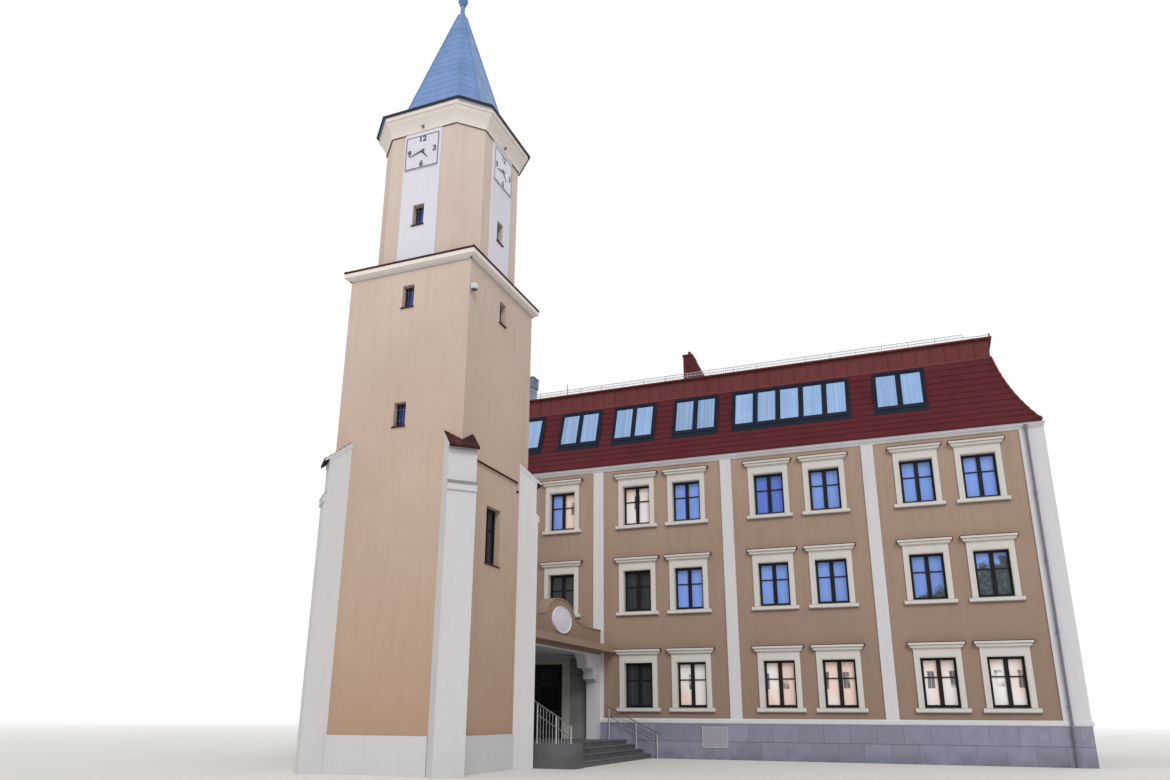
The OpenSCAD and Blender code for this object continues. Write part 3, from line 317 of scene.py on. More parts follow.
@dataclass(frozen=True)
class Sheet(Finish):
    """Folded sheet metal, painted or weathered, with soft dents and dust."""

    metal: float = 0.0
    dust: float = 0.35
    fade: float = 0.2

    def paint(self, s: Shader) -> None:
        """Grow the node tree.

        Args:
            s: The tree.
        """
        base = s.mix(s.tone(), self.tint(1 - self.fade), self.tint(1 + self.fade))
        base = s.patch(base, (0.3, 0.3, 1.4), 4, (0.42, 0.72, self.dust), self.tint(1.5))
        base = s.patch(base, 1.1, 5, (0.5, 0.72, 0.5), self.tint(0.7))
        rough = s.remap(s.noise(0.5, 3), -0.5, 0.9, self.roughness * 1.3)
        s.close(base, rough, s.bump(s.noise(0.35, 2), 0.005), self.gloss, self.metal)


@dataclass(frozen=True)
class Clay(Finish):
    """Fired tiles, each with its own tone, with lichen specks."""

    lichen: str = "7C7464"

    def paint(self, s: Shader) -> None:
        """Grow the node tree.

        Args:
            s: The tree.
        """
        base = s.mix(s.tone(), self.tint(0.65), self.tint(1.4))
        base = s.patch(base, 0.05, 4, (0.58, 0.78, 0.45), linear(self.lichen))
        s.close(base, self.roughness, s.bump(s.noise(0.03, 3), 0.004), self.gloss)


@dataclass(frozen=True)
class Timber(Finish):
    """Stained and varnished window timber with an upright grain."""

    def paint(self, s: Shader) -> None:
        """Grow the node tree.

        Args:
            s: The tree.
        """
        grain = s.noise((0.012, 0.012, 0.5), 4)
        base = s.mix(s.remap(grain, 0.35, 0.7), self.tint(0.8), self.tint(1.35))
        s.close(base, self.roughness, s.bump(grain, 0.001), self.gloss)


@dataclass(frozen=True)
class Pane(Finish):
    """Window glass whose colour is a painted reflection: each pane has its own tone, with curtain folds behind and a
    slow drift of tone.
    """

    fold: str = "B4C4EC"
    folds: float = 0.3
    rise: float = 0.15
    pleat: Triple = (0.045, 0.045, 1.8)

    def behind(self, s: Shader, base: Socket) -> Socket:
        """What else is seen in the glass: nothing here."""
        return base

    def paint(self, s: Shader) -> None:
        """Grow the node tree.

        Args:
            s: The tree.
        """
        # Painted reflection: the base colour and its slow drift stand for what the glass reflects.
        base = s.mix(s.tone(), self.tint(1 - self.rise), self.tint(1 + self.rise))
        base = s.patch(base, (1.6, 1.6, 0.9), 2, (0.4, 0.7, 0.3), self.tint(0.7))
        base = s.patch(base, self.pleat, 2, (0.42, 0.66, self.folds), linear(self.fold))
        s.close(self.behind(s, base), self.roughness, s.bump(s.noise(0.8, 1), 0.002), self.gloss)


@dataclass(frozen=True)
class Mirror(Pane):
    """Glass that mirrors pale house fronts with upright windows."""

    warm: str = "FBDDD0"
    shade: str = "4A4C5A"
    step: float = 0.72
    storey: float = 3.645

    def band(self, s: Shader, value: Socket, start: float, end: float, soft: float) -> Socket:
        """1 between two values of a repeating ramp, softly 0 outside."""
        return s.math("MULTIPLY", s.remap(value, start, start + soft), s.remap(value, end, end - soft))

    def behind(self, s: Shader, base: Socket) -> Socket:
        """Add warm patches and the dark windows of the mirrored fronts, with their pale middle bars.

        Args:
            s: The tree.
            base: Colour of the glass so far.

        Returns:
            Its colour with them.
        """
        base = s.patch(base, (1.5, 1.5, 2.5), 1, (0.44, 0.56, 1.0), linear(self.warm))
        sway = s.remap(s.noise(1.2, 1), 0.2, 0.8, 0.1)
        across, up = (s.math("FRACT", s.math("DIVIDE", s.math("ADD", spot, sway), step))
                      for spot, step in ((s.x, self.step), (s.height, self.storey)))
        dark = s.math("MULTIPLY", self.band(s, across, 0.3, 0.66, 0.04), self.band(s, up, 0.7, 0.87, 0.01))
        bars = s.remap(self.band(s, across, 0.46, 0.5, 0.015), 0.0, 1.0, 0.5)
        dark = s.math("MULTIPLY", dark, s.math("SUBTRACT", 1.0, bars))
        lost = s.remap(s.noise(0.8, 1), 0.3, 0.45, 0.88)
        return s.mix(s.math("MULTIPLY", dark, lost), base, linear(self.shade))


@dataclass(frozen=True)
class Trees(Pane):
    """Glass that mirrors tree tops under the sky, their edge climbing to the right."""

    leaves: str = "3C4238"
    start: Pair = (10.4, 6.0)
    climb: float = 0.45

    def behind(self, s: Shader, base: Socket) -> Socket:
        """Add dark foliage below a ragged edge.

        Args:
            s: The tree.
            base: Colour of the glass so far.

        Returns:
            Its colour with the foliage.
        """
        rise = s.math("MULTIPLY", s.math("SUBTRACT", s.x, self.start[0]), self.climb)
        edge = s.math("ADD", s.math("ADD", rise, self.start[1]), s.remap(s.noise(0.35, 3), 0.3, 0.7, 0.5))
        under = s.remap(s.math("SUBTRACT", edge, s.height), 0.1, 0.3, 0.95)
        leaf = s.mix(s.remap(s.noise(0.12, 3), 0.4, 0.6), linear(self.leaves, 0.7), linear(self.leaves, 1.6))
        return s.mix(under, base, leaf)


@dataclass(frozen=True)
class Cast(Finish):
    """Cast or sawn concrete and stone steps, grey and grainy, worn on top."""

    def paint(self, s: Shader) -> None:
        """Grow the node tree.

        Args:
            s: The tree.
        """
        base = s.mix(s.remap(s.noise(0.6, 5), 0.35, 0.7), self.tint(0.78), self.tint(1.1))
        base = s.patch(base, 0.015, 2, (0.5, 0.75, 0.5), self.tint(1.4))
        s.close(base, self.roughness, s.bump(s.noise(0.02, 3), 0.002), self.gloss)


@dataclass(frozen=True)
class Metal(Finish):
    """Painted or bare steel with rubbed spots."""

    metal: float = 0.3

    def paint(self, s: Shader) -> None:
        """Grow the node tree.

        Args:
            s: The tree.
        """
        base = s.patch(self.tint(), 0.12, 4, (0.45, 0.75, 1.0), self.tint(1.4))
        rough = s.remap(s.noise(0.08, 3), -0.2, 0.9, self.roughness * 1.5)
        s.close(base, rough, s.bump(s.noise(0.02, 2), 0.0008), self.gloss, self.metal)


@dataclass(frozen=True)
class Enamel(Finish):
    """Smooth enamelled board, a little aged."""

    def paint(self, s: Shader) -> None:
        """Grow the node tree of this finish."""
        base = s.patch(self.tint(), 0.4, 4, (0.4, 0.75, 0.6), self.tint(0.86))
        s.close(base, self.roughness, s.bump(s.noise(0.2, 2), 0.0015), self.gloss)


OCHRE = Plaster("Ochre render", "render_ochre", "B29B89", 0.92, 0.1, deep="937D6F")
OCHRE_TOWER = Plaster("Ochre render of the tower", "render_ochre", "DFD1C8", 0.92, 0.1, deep="AF917A",
                      span=(0.0, 19.0), runs=0.15)
CREAM = Plaster("Cream render", "render_cream", "D4D1CB", 0.9, 0.15, soil=0.3)
# Cornice render: its cream is its own paint; its extra lightness is painted light, thrown up onto the
# downward-facing profile.
CORNICE_PAINTED_LIGHT = Plaster("Cornice render with painted light", "render_cream", "EEE5DE", 0.9, 0.15)
# Darker render for painted shadow lines under hoods and sills, and for the dirty, shaded tops of the buttress noses.
GRIME_AND_SHADE = Plaster("Weathered render with painted shade", "render_cream", "8E8A86", 0.92, 0.1)
PALE = Plaster("Pale render", "render_cream", "D4D3D6", 0.9, 0.15, soil=0.3)
TOWER_PALE = Plaster("Pale render of the tower", "render_cream", "CFCED0", 0.9, 0.15, runs=0.2, soil=0.2)
STRIP_PALE = Plaster("Pale render of the clock stage", "render_cream", "E0DFEA", 0.9, 0.15, runs=0.15)
PLINTH = Slab("Plinth slabs", "plinth_stone", "8A8A9C")
WALL_SLAB = Slab("Grey slabs of the porch", "plinth_stone", "A2A2A6")
JOINTS = Cast("Plinth joints", "plinth_stone", "71707E")
CONCRETE = Cast("Concrete", "concrete", "636468")
STAIN = Timber("Dark window timber", "frame_brown", "1C1B1A", 0.5, 0.2)
DOOR_STAIN = Timber("Dark door timber", "frame_brown", "373A33", 0.5, 0.2)
# Painted reflections in the block's glass: open sky, deep sky, pale walls, trees under sky; SHADE_PANE is painted
# shade.
SKY_PANE = Pane("Glass with painted sky reflection", "glass", "7FA2F2", 0.06, 0.35, fold="A9C0F8", folds=0.15, rise=0.1)
DEEP_PANE = Pane("Glass with painted deep sky reflection", "glass", "5A7CE0", 0.06, 0.35, fold="A9C0F8", folds=0.1)
SHADE_PANE = Pane("Glass in shade", "glass", "34383A", 0.06, 0.25, fold="5C6060", folds=0.35)
FACADE_PANE = Mirror("Glass with painted reflection of pale walls", "glass", "FBF7F6", 0.06, 0.25, fold="FFFFFF", rise=0.03)
TREE_PANE = Trees("Glass with painted reflection of trees and sky", "glass", "7FA2F2", 0.06, 0.35, fold="A9C0F8", folds=0.1)
# Roof-light and tower glass: their blue is a painted reflection of the sky.
LIGHT_GLASS = Pane("Roof light glass with painted sky reflection", "glass", "86A8D4", 0.08, 0.3, fold="AFC6E6", folds=0.5,
                   pleat=(0.05, 9.0, 9.0))
TOWER_GLASS = Pane("Tower glass with painted sky reflection", "glass", "35489A", 0.05, 0.3, fold="5A6CC0", folds=0.2)
# Door glass: its near-black colour is painted shade of the dark porch.
DOOR_GLASS = Pane("Door glass with painted shade", "glass", "242A28", 0.08, 0.2, fold="3A423E", folds=0.4)
ROOF = Sheet("Red roof sheet", "roof_red", "59262C", 0.7, 0.08, dust=0.08)
ROOF_TRIM = Sheet("Red folded sheet", "roof_red", "60302F", 0.7, 0.1, dust=0.12)
CROWN = Sheet("Brown crown sheet", "roof_red", "763F40", 0.7, 0.1, dust=0.15)
LIGHT_FRAME = Sheet("Dark cladding of the roof lights", "light_frame", "1C2333", 0.6, 0.1, dust=0.08)
ZINC = Sheet("Weathered zinc", "sheet_zinc", "6F8EBC", 0.6, 0.2, metal=0.05, dust=0.15, fade=0.08)
ZINC_EDGE = Sheet("Dark zinc edge", "sheet_zinc", "2A2C36", 0.6, 0.15)
FLASHING = Sheet("Brown sheet flashing", "roof_red", "4E3A38", 0.7, 0.1)
DECK = Sheet("Roof felt", "concrete", "5A5A5C", 0.8)
VENT = Sheet("Galvanised vent", "sheet_zinc", "7C89A4", 0.5, 0.25, metal=0.2)
CLAY = Clay("Brown clay tiles", "tile", "472D2C", 0.85, 0.1)
IRON = Metal("Dark iron", "iron", "23262B", 0.5)
RAIL = Metal("Grey handrail", "iron", "6A6668", 0.5, metal=0.2)
GUARD = Metal("Galvanised guard bars", "iron", "A3A6AE", 0.5, metal=0.3)
STEEL = Metal("Brushed steel", "iron", "B4B6BA", 0.4, metal=0.4)
PIPE = Metal("Grey pipe", "pipe", "716F80", 0.6, 0.15, metal=0.05)
DIAL = Enamel("Pale dial", "dial", "DAD9E6", 0.4)
FIGURE = Metal("Grey clock figures", "iron", "4E4C58", 0.5, 0.15, metal=0.0)
HAND = Metal("Dark clock hands", "iron", "3A3A44", 0.5, 0.15, metal=0.0)
BOARD = Enamel("Bare notice board", "plinth_stone", "9E9BA8", 0.45)
CAMERA_SHELL = Enamel("White camera shell", "dial", "CFCFD2", 0.35)
LENS = Enamel("Smoked camera dome", "dial", "55575E", 0.12, 0.4)


class Bench:
    """A piece in the making: points and faces on the drawing grid, joined into one object."""

    def __init__(self) -> None:
        """Start empty."""
        self.points: list[Vector] = []
        self.tones: list[float] = []
        self.faces: list[tuple[int, ...]] = []

    def add(self, points: Sequence[Sequence[float]], faces: Sequence[tuple[int, ...]],
            place: Matrix = Matrix(), tone: float = 0.5) -> None:
        """Add a part.

        Args:
            points: Its points.
            faces: Its faces, as indices into those points.
            place: Where it goes on the grid.
            tone: Its own shade from 0 to 1.
        """
        first = len(self.points)
        self.points += [place @ Vector(p) for p in points]
        self.tones += [tone] * len(points)
        self.faces += [tuple(first + i for i in f) for f in faces]

    def box(self, corner: Triple, far: Triple, place: Matrix = Matrix(), tone: float = 0.5) -> None:
        """Add a block between two corners."""
        self.add(list(itertools.product(*zip(corner, far))), BLOCK_FACES, place, tone)

    def wedge(self, near: Triple, far: Triple, under: Sequence[float], over: Sequence[float],
              place: Matrix = Matrix(), tone: float = 0.5) -> None:
        """Add a block whose underside and top slope.

        Args:
            near: Start and end of its near edge along x, and the edge's y.
            far: The same for its far edge.
            under: Height of its underside at the near and the far edge.
            over: Height of its top there.
            place: Where it goes on the grid.
            tone: Its own shade from 0 to 1.
        """
        plan = ((near[0], near[2]), (near[1], near[2]), (far[1], far[2]), (far[0], far[2]))
        rings = [[(*p, z) for p, z in zip(plan, (a, a, b, b))] for a, b in (under, over)]
        self.skin(rings, place=place, tone=tone)

    def rim(self, corner: Pair, far: Pair, face: float, depth: Pair, place: Matrix = Matrix()) -> None:
        """Add an upright rectangular frame.

        Args:
            corner: Lower left of its outer edge, as x and z.
            far: Upper right of its outer edge.
            face: Width of its members.
            depth: Where its members start and end along y.
            place: Where it goes on the grid.
        """
        (x0, z0), (x1, z1), (y0, y1) = corner, far, depth
        for x in (x0, x1 - face):
            self.box((x, y0, z0), (x + face, y1, z1), place)
        for z in (z0, z1 - face):
            self.box((x0 + face, y0, z), (x1 - face, y1, z + face), place)

    def skin(self, rings: Sequence[Sequence[Sequence[float]]], loop: bool = False, caps: bool = True,
             place: Matrix = Matrix(), tone: float = 0.5) -> None:
        """Add a skin through closed rings of equally many points.

        Args:
            rings: The rings in order.
            loop: Whether the last ring joins the first.
            caps: Whether the ends are closed.
            place: Where it goes on the grid.
            tone: Its own shade from 0 to 1.
        """
        size = len(rings[0])
        faces = []
        for i in range(len(rings) if loop else len(rings) - 1):
            a, b = i * size, (i + 1) % len(rings) * size
            faces += [(a + j, a + (j + 1) % size, b + (j + 1) % size, b + j) for j in range(size)]
        if caps and not loop:
            faces += [tuple(reversed(range(size))), tuple((len(rings) - 1) * size + j for j in range(size))]
        self.add([p for ring in rings for p in ring], faces, place, tone)

    def tube(self, path: Sequence[Vector], radii: Sequence[float], sides: int = 8,
             place: Matrix = Matrix(), tone: float = 0.5) -> None:
        """Add a round bar.

        Args:
            path: Points along its middle.
            radii: Its radius at each of them.
            sides: Number of its sides.
            place: Where it goes on the grid.
            tone: Its own shade from 0 to 1.
        """
        rings = []
        for i, (point, radius) in enumerate(zip(path, radii)):
            along = (path[min(i + 1, len(path) - 1)] - path[max(i - 1, 0)]).normalized()
            across = along.cross(Vector((0, 0, 1)) if abs(along.z) < 0.9 else Vector((0, 1, 0))).normalized()
            over = along.cross(across)
            rings.append([point + (across * c + over * s) * radius for c, s in circle(sides)])
        self.skin(rings, place=place, tone=tone)

    def turned(self, foot: Sequence[float], profile: Sequence[Pair], sides: int,
               place: Matrix = Matrix()) -> None:
        """Add an upright turned part on a foot, from the height and radius of each of its rings."""
        path = [Vector(foot) + Vector((0, 0, up)) for up, _ in profile]
        self.tube(path, [radius for _, radius in profile], sides, place)

    def absorb(self, work: bmesh.types.BMesh, place: Matrix) -> None:
        """Take over a mesh that was cut to shape, and free it.

        Args:
            work: The mesh.
            place: Where it goes on the grid.
        """
        work.verts.index_update()
        self.add([v.co for v in work.verts], [tuple(v.index for v in f.verts) for f in work.faces], place)
        work.free()

    def piece(self, name: str, look: Finish, body: str = HOUSE, soft: float = 0.0,
              smooth: float = 0.0, sheet: bool = False) -> None:
        """Make the object, riding on its body.

        Args:
            name: Its name.
            look: Its finish.
            body: The body that it rides on.
            soft: Width of its rounded edges.
            smooth: Angle in degrees up to which its faces shade as one.
            sheet: Whether it is an open sheet, whose faces keep their sides.
        """
        mesh = bpy.data.meshes.new(name)
        mesh.from_pydata([p + ORIGIN for p in self.points], [], self.faces)
        mesh.attributes.new("tone", "FLOAT", "POINT").data.foreach_set("value", self.tones)
        if not sheet:
            work = bmesh.new()
            work.from_mesh(mesh)
            bmesh.ops.recalc_face_normals(work, faces=work.faces)
            work.to_mesh(mesh)
            work.free()
        if smooth:
            mesh.polygons.foreach_set("use_smooth", [True] * len(mesh.polygons))
            mesh.set_sharp_from_angle(angle=math.radians(smooth))
        mesh.materials.append(look.material())
        made = bpy.data.objects.new(name, mesh)
        bpy.context.scene.collection.objects.link(made)
        if soft:
            edge = made.modifiers.new("Soft edges", "BEVEL")
            edge.width, edge.segments, edge.limit_method = soft, 1, "ANGLE"
        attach(made, body)
        LOG.info("%s: %d points", name, len(self.points))

    def tiles(self, place: Matrix, size: Pair, counts: tuple[int, int], draw: random.Random,
              lean_in: float = 0.0) -> None:
        """Lay overlapping tiles on a slope.

        Args:
            place: The slope: x across it from its middle, y up it, z out of it.
            size: Width of the slope at its foot, and its length.
            counts: Tiles in one course, and courses.
            draw: Source of each tile's tone.
            lean_in: How far each end draws in from foot to top.
        """
        (wide, tall), (across, courses) = size, counts
        thick, gap, spread, lap, step = 0.012, 0.004, 0.004, 0.2, tall / courses
        for row, k in itertools.product(range(courses), range(across)):
            shrink = lean_in * (row + 0.5) / courses
            width = (wide - 2 * shrink) / across
            x = -wide / 2 + shrink + k * width
            span = (x + gap / 2, x + width - gap / 2)
            butt = thick * 2 + draw.uniform(0.0, spread)
            self.wedge((*span, row * step), (*span, (row + 1 + lap) * step), (0.0, -gap), (butt, thick * 0.4),
                       place, draw.random())


def dress(look: Finish, *nodes: str) -> None:
    """Give built nodes a finish.

    Args:
        look: The finish.
        nodes: Names of the nodes.
    """
    for name in nodes:
        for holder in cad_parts[name].material_slots:
            holder.material = look.material()
        LOG.info("%s: %s", name, look.name)


class Side(IntEnum):
    """The four sides of the block or the tower, seen from above against the clock."""

    FRONT = 0
    RIGHT = 1
    BACK = 2
    LEFT = 3


@dataclass
class Block:
    """The main block: its walls, plinth slabs, and where its bays and windows are."""

    corner_w: float = 0.76
    bay_w: float = 5.06
    pilaster_w: float = 0.45
    window_half: float = 1.075
    sills: Triple = (1.84, 5.56, 9.13)
    heights: Triple = (1.71, 1.68, 1.68)
    porch_bay: int = 4
    plinth_out: float = 0.06
    slab_l: float = 0.9
    slab_out: float = 0.01
    slab_least: float = 0.05
    slab_bed: float = 0.005
    slab_seed: int = 3
    joint: float = 0.008
    bead_bed: float = 0.01
    beads_at: tuple[Triple, ...] = ((0.092, 0.112, 0.018), (0.052, 0.19, 0.022), (0.12, 0.016, 0.014))
    length: float = field(init=False)
    depth: float = field(init=False)
    plinth_top: float = field(init=False)
    gap: Pair = field(init=False)

    def __post_init__(self) -> None:
        """Read the overall sizes from the frame."""
        start = low("upper_front_wall")
        self.length = high("upper_front_wall").x - start.x
        self.depth = high("back_wall").y - start.y
        self.plinth_top = high("plinth").z
        self.gap = (low("porch_closed_walls").x - start.x, high("porch_gable").x - start.x - GABLE_LIP)

    def run(self, side: Side) -> float:
        """Length of a wall."""
        return self.depth if side % 2 else self.length

    def place(self, side: Side) -> Matrix:
        """Wall coordinates of a side: x along it, y inwards, z up."""
        x, y = ((-self.length, 0), (0, 0), (0, self.depth), (-self.length, self.depth))[side]
        return shift(x, y, 0) @ turn(90 * side)

    def bays(self, side: Side) -> int:
        """Number of bays on a side."""
        return round((self.run(side) - 2 * self.corner_w + self.pilaster_w) / (self.bay_w + self.pilaster_w))

    def windows(self) -> Iterator[tuple[Side, Matrix, float]]:
        """Go round the windows, row by row from the left on each side.

        Returns:
            Side, place of the sill's middle and height of every window.
        """
        for side, (row, sill) in itertools.product(Side, enumerate(self.sills)):
            count = self.bays(side)
            for bay in range(count):
                if side == Side.FRONT and row == 0 and bay == count - self.porch_bay:
                    continue
                middle = self.corner_w + self.bay_w / 2 + bay * (self.bay_w + self.pilaster_w)
                for half in (-self.window_half, self.window_half):
                    yield side, self.place(side) @ shift(middle + half, 0, sill), self.heights[row]

    def belt(self, bench: Bench, profile: Sequence[Pair]) -> None:
        """Carry a profile round the block.

        Args:
            bench: Where it goes.
            profile: Its points, each as distance outside the walls and height.
        """
        spots = ((-self.length, 0, -1, -1), (0, 0, 1, -1), (0, self.depth, 1, 1), (-self.length, self.depth, -1, 1))
        bench.skin([[(x + right * out, y + back * out, z) for out, z in profile] for x, y, right, back in spots],
                   loop=True)

    def slabs(self) -> None:
        """Two courses of stone slabs on the plinth."""
        bench, draw = Bench(), random.Random(self.slab_seed)
        tall = self.plinth_top / 2
        for side in Side:
            over = self.plinth_out if side % 2 == 0 else 0.0
            ends = [-over, self.run(side) + over]
            if side == Side.FRONT:
                ends[1:1] = self.gap
            for (start, end), course in itertools.product(zip(ends[::2], ends[1::2]), (0, 1)):
                x = start - course * self.slab_l / 2
                while x < end:
                    a, b = max(start, x), min(end, x + self.slab_l) - self.joint
                    if b - a > self.slab_least:
                        bench.box((a, -self.plinth_out - self.slab_out, course * (tall + self.joint)),
                                  (b, self.slab_bed - self.plinth_out,
                                   (course + 1) * tall - self.joint * (1 - course)),
                                  self.place(side), draw.random())
                    x += self.slab_l
        bench.piece("plinth_slabs", PLINTH, soft=0.003)

    def beads(self) -> None:
        """Thin mouldings under the fascia and at the foot of the eaves cornice."""
        bench = Bench()
        top = high("eaves_cornice").z
        for out, foot, tall in self.beads_at:
            self.belt(bench, strip(-self.bead_bed, out, top - foot, top - foot + tall))
        bench.piece("cornice_beads", PALE)

    def build(self) -> None:
        """Dress the walls and add the slabs."""
        dress(OCHRE, "ground_wall_left", "ground_wall_right", "upper_front_wall", "back_wall", "end_walls")
        dress(PALE, "pilasters", "plinth_band", "eaves_cornice")
        dress(CREAM, "window_surrounds")
        dress(JOINTS, "plinth")
        dress(CONCRETE, "floors", "tower_floor")
        self.slabs()
        self.beads()


class View(Enum):
    """What a window faces, which picks the painted reflection on its glass, and painted shade for SHADE."""

    SKY = "k"
    DEEP = "d"
    SHADE = "s"
    FACADE = "f"
    MIXED = "m"
    TREES = "t"


@dataclass
class Windows:
    """Sashes, panes, hood trim and plastered reveals of the block's windows."""

    block: Block
    opening: float = 1.18
    frame_face: float = 0.08
    post: float = 0.12
    back: float = 0.18
    relief: float = 0.06
    jamb: float = 0.19
    frieze: float = 0.29
    hood: float = 0.23
    hood_over: float = 0.13
    sash: float = 0.034
    proud: float = 0.014
    lap: float = 0.022
    lap_gap: float = 0.004
    bar: float = 0.042
    bar_share: float = 0.38
    lining: float = 0.005
    sill_out: float = 0.05
    bead: float = 0.022
    crown: float = 0.003
    sash_deep: float = 0.03
    bar_span: Pair = (0.012, 0.06)
    cover: Pair = (0.02, 0.03)
    rail: Triple = (0.06, 0.036, 0.026)
    pane_deep: float = 0.052
    pane_steps: int = 4
    pane_seed: int = 8
    view_seed: int = 20
    tone_spread: float = 0.15
    bead_gap: float = 0.03
    bead_span: Pair = (0.011, 0.005)
    fillets: tuple[Triple, ...] = ((-0.008, 0.018, 0.014), (0.045, 0.088, 0.05))
    fascia_over: float = 0.022
    fascia_h: float = 0.084
    front_over: float = 0.012
    side_over: float = -0.003
    sheet_span: Pair = (0.016, 0.01)
    cheek: Triple = (0.034, 0.085, 0.012)
    seam_h: float = 0.016
    bed: float = 0.002
    # One letter for each front window, row by row: it picks that glass's painted reflection; s picks painted shade.
    front_views: str = "ss sf ff ff" "ss ss sk kk tt" "kk km fk dk kk"
    panes_of: dict[View, Finish] = field(default_factory=lambda: {
        View.SKY: SKY_PANE, View.DEEP: DEEP_PANE, View.SHADE: SHADE_PANE, View.FACADE: FACADE_PANE,
        View.TREES: TREE_PANE})

    def views(self) -> list[View]:
        """Say what each window faces.

        Returns:
            Its view, in the order of the windows.
        """
        sides = [side for side, _, _ in self.block.windows()]
        made = [View(letter) for letter in self.front_views.replace(" ", "")]
        for side in (Side.RIGHT, Side.BACK, Side.LEFT):
            draw = random.Random(self.view_seed + side)
            made += [draw.choice((View.SKY, View.SKY, View.SHADE, View.FACADE)) for _ in range(sides.count(side))]
        return made

    def casements(self, tall: float) -> tuple[tuple[Pair, Pair], float, float]:
        """Clear openings of both casements.

        Args:
            tall: Height of the window.

        Returns:
            Their spans along x, the height of the bar's middle, and the height of their top.
        """
        top = tall - self.frame_face
        spans = mirrored(self.post / 2, self.opening / 2 - self.frame_face)
        return spans, top - (top - self.frame_face) * self.bar_share, top

    def sashes(self) -> None:
        """Casement rims, cover strips, drip rails and one bar across each casement."""
        bench = Bench()
        (inside, proud, thick), (cover, cover_out), (bar_out, bar_in) = self.rail, self.cover, self.bar_span
        face, lap, half = self.frame_face, self.lap, self.opening / 2 - inside
        foot = face + self.lap_gap
        for _, place, tall in self.block.windows():
            spans, bar_z, top = self.casements(tall)
            for left, right in spans:
                bench.rim((left - lap, face - lap), (right + lap, top + lap), self.sash,
                          (self.back - self.proud, self.back + self.sash_deep), place)
                bench.box((left, self.back + bar_out, bar_z - self.bar / 2),
                          (right, self.back + bar_in, bar_z + self.bar / 2), place)
            bench.box((-cover, self.back - cover_out, face), (cover, self.back, top), place)
            bench.box((-half, self.back - proud, foot), (half, self.back, foot + thick), place)
        bench.piece("window_sashes", STAIN, soft=0.004)

    def crowned(self, left: float, right: float, bottom: float, top: float, lean: float) -> list[Triple]:
        """Lay out the points of one pane, column by column.

        Args:
            left: Where it starts along x.
            right: Where it ends.
            bottom: Its lower edge.
            top: Its upper edge.
            lean: How far its corners are twisted out of its plane.

        Returns:
            The points, in wall coordinates.
        """
        shares = [i / self.pane_steps for i in range(self.pane_steps + 1)]
        points = []
        for u, v in itertools.product(shares, repeat=2):
            swell = self.crown * math.sin(math.pi * u) * math.sin(math.pi * v) + lean * (u - v)
            x, z = left + (right - left) * u, bottom + (top - bottom) * v
            points.append((x, self.back + self.pane_deep - swell, z))
        return points

    def panes(self) -> None:
        """Slightly crowned panes, four to a window, each with its own tone."""
        benches = {view: Bench() for view in self.panes_of}
        draw = random.Random(self.pane_seed)
        row = self.pane_steps + 1
        faces = [(i * row + j, (i + 1) * row + j, (i + 1) * row + j + 1, i * row + j + 1)
                 for i, j in itertools.product(range(self.pane_steps), repeat=2)]
        for (_, place, tall), view in zip(self.block.windows(), self.views()):
            spans, bar_z, top = self.casements(tall)
            both = (View.SKY, View.FACADE) if view == View.MIXED else (view, view)
            shade = draw.random()
            for (left, right), seen in zip(spans, both):
                for z0, z1 in ((self.frame_face, bar_z), (bar_z, top)):
                    points = self.crowned(left, right, z0, z1, draw.uniform(-self.crown, self.crown))
                    tone = min(1.0, max(0.0, shade + draw.uniform(-self.tone_spread, self.tone_spread)))
                    benches[seen].add(points, faces, place, tone)
        for view, bench in benches.items():
            if bench.faces:
                bench.piece(f"panes_{view.name.lower()}", self.panes_of[view], smooth=40, sheet=True)

    def reveals(self) -> None:
        """Plaster on the four sides of each opening, outside its frame."""
        bench = Bench()
        t, inner, front = self.lining, self.opening / 2 - self.lining, self.bed / 2 - self.relief
        for _, place, tall in self.block.windows():
            for x0, x1 in mirrored(inner, self.opening / 2):
                bench.box((x0, front, 0), (x1, self.back, tall), place)
            bench.box((-inner, front, tall - t), (inner, self.back, tall), place)
            bench.box((-inner, -self.relief - self.sill_out, 0), (inner, self.back, t), place)
        bench.piece("window_reveals", CREAM)

    def hoods(self) -> None:
        """Fillets under each hood and round its frieze, thin flashing on its top, beads round the opening, and dark
        strips of painted shadow under the hood's slab and under the sill.
        """
        fillets, flashing, joints = Bench(), Bench(), Bench()
        half, inner, face = self.opening / 2 + self.jamb, self.opening / 2 + self.bead_gap, -self.relief
        wide = half + self.hood_over + self.fascia_over
        bead_out, bead_in = face - self.bead_span[0], face + self.bead_span[1]
        (under, over_top), (cheek, drop, rise) = self.sheet_span, self.cheek
        for side, place, tall in self.block.windows():
            top = tall + self.frieze
            crest = top + self.hood
            over = self.front_over if side == Side.FRONT else self.side_over
            front = -self.relief - self.hood_over - over
            for up, out, thick in self.fillets:
                z = top + up
                fillets.box((-half - out, face - out, z), (half + out, face + 0.01, z + thick), place)
                for x0, x1 in mirrored(half - 0.01, half + out):
                    fillets.box((x0, face + 0.01, z), (x1, -self.lap_gap, z + thick), place)
            bead = tall + self.bead_gap
            for x0, x1 in mirrored(inner, inner + self.bead):
                fillets.box((x0, bead_out, self.bed / 2), (x1, bead_in, bead + self.bead), place)
            fillets.box((-inner, bead_out, bead), (inner, bead_in, bead + self.bead), place)
            fascia = crest - self.lap_gap
            fillets.box((-wide, front + self.bed, fascia - self.fascia_h), (wide, -self.bed, fascia), place)
            flashing.box((-wide, front, crest - under), (wide, -self.bed, crest + over_top), place)
            for x0, x1 in mirrored(wide - self.lap_gap, wide + cheek):
                flashing.box((x0, front + 0.03, crest - drop), (x1, -self.bed, crest + rise), place)
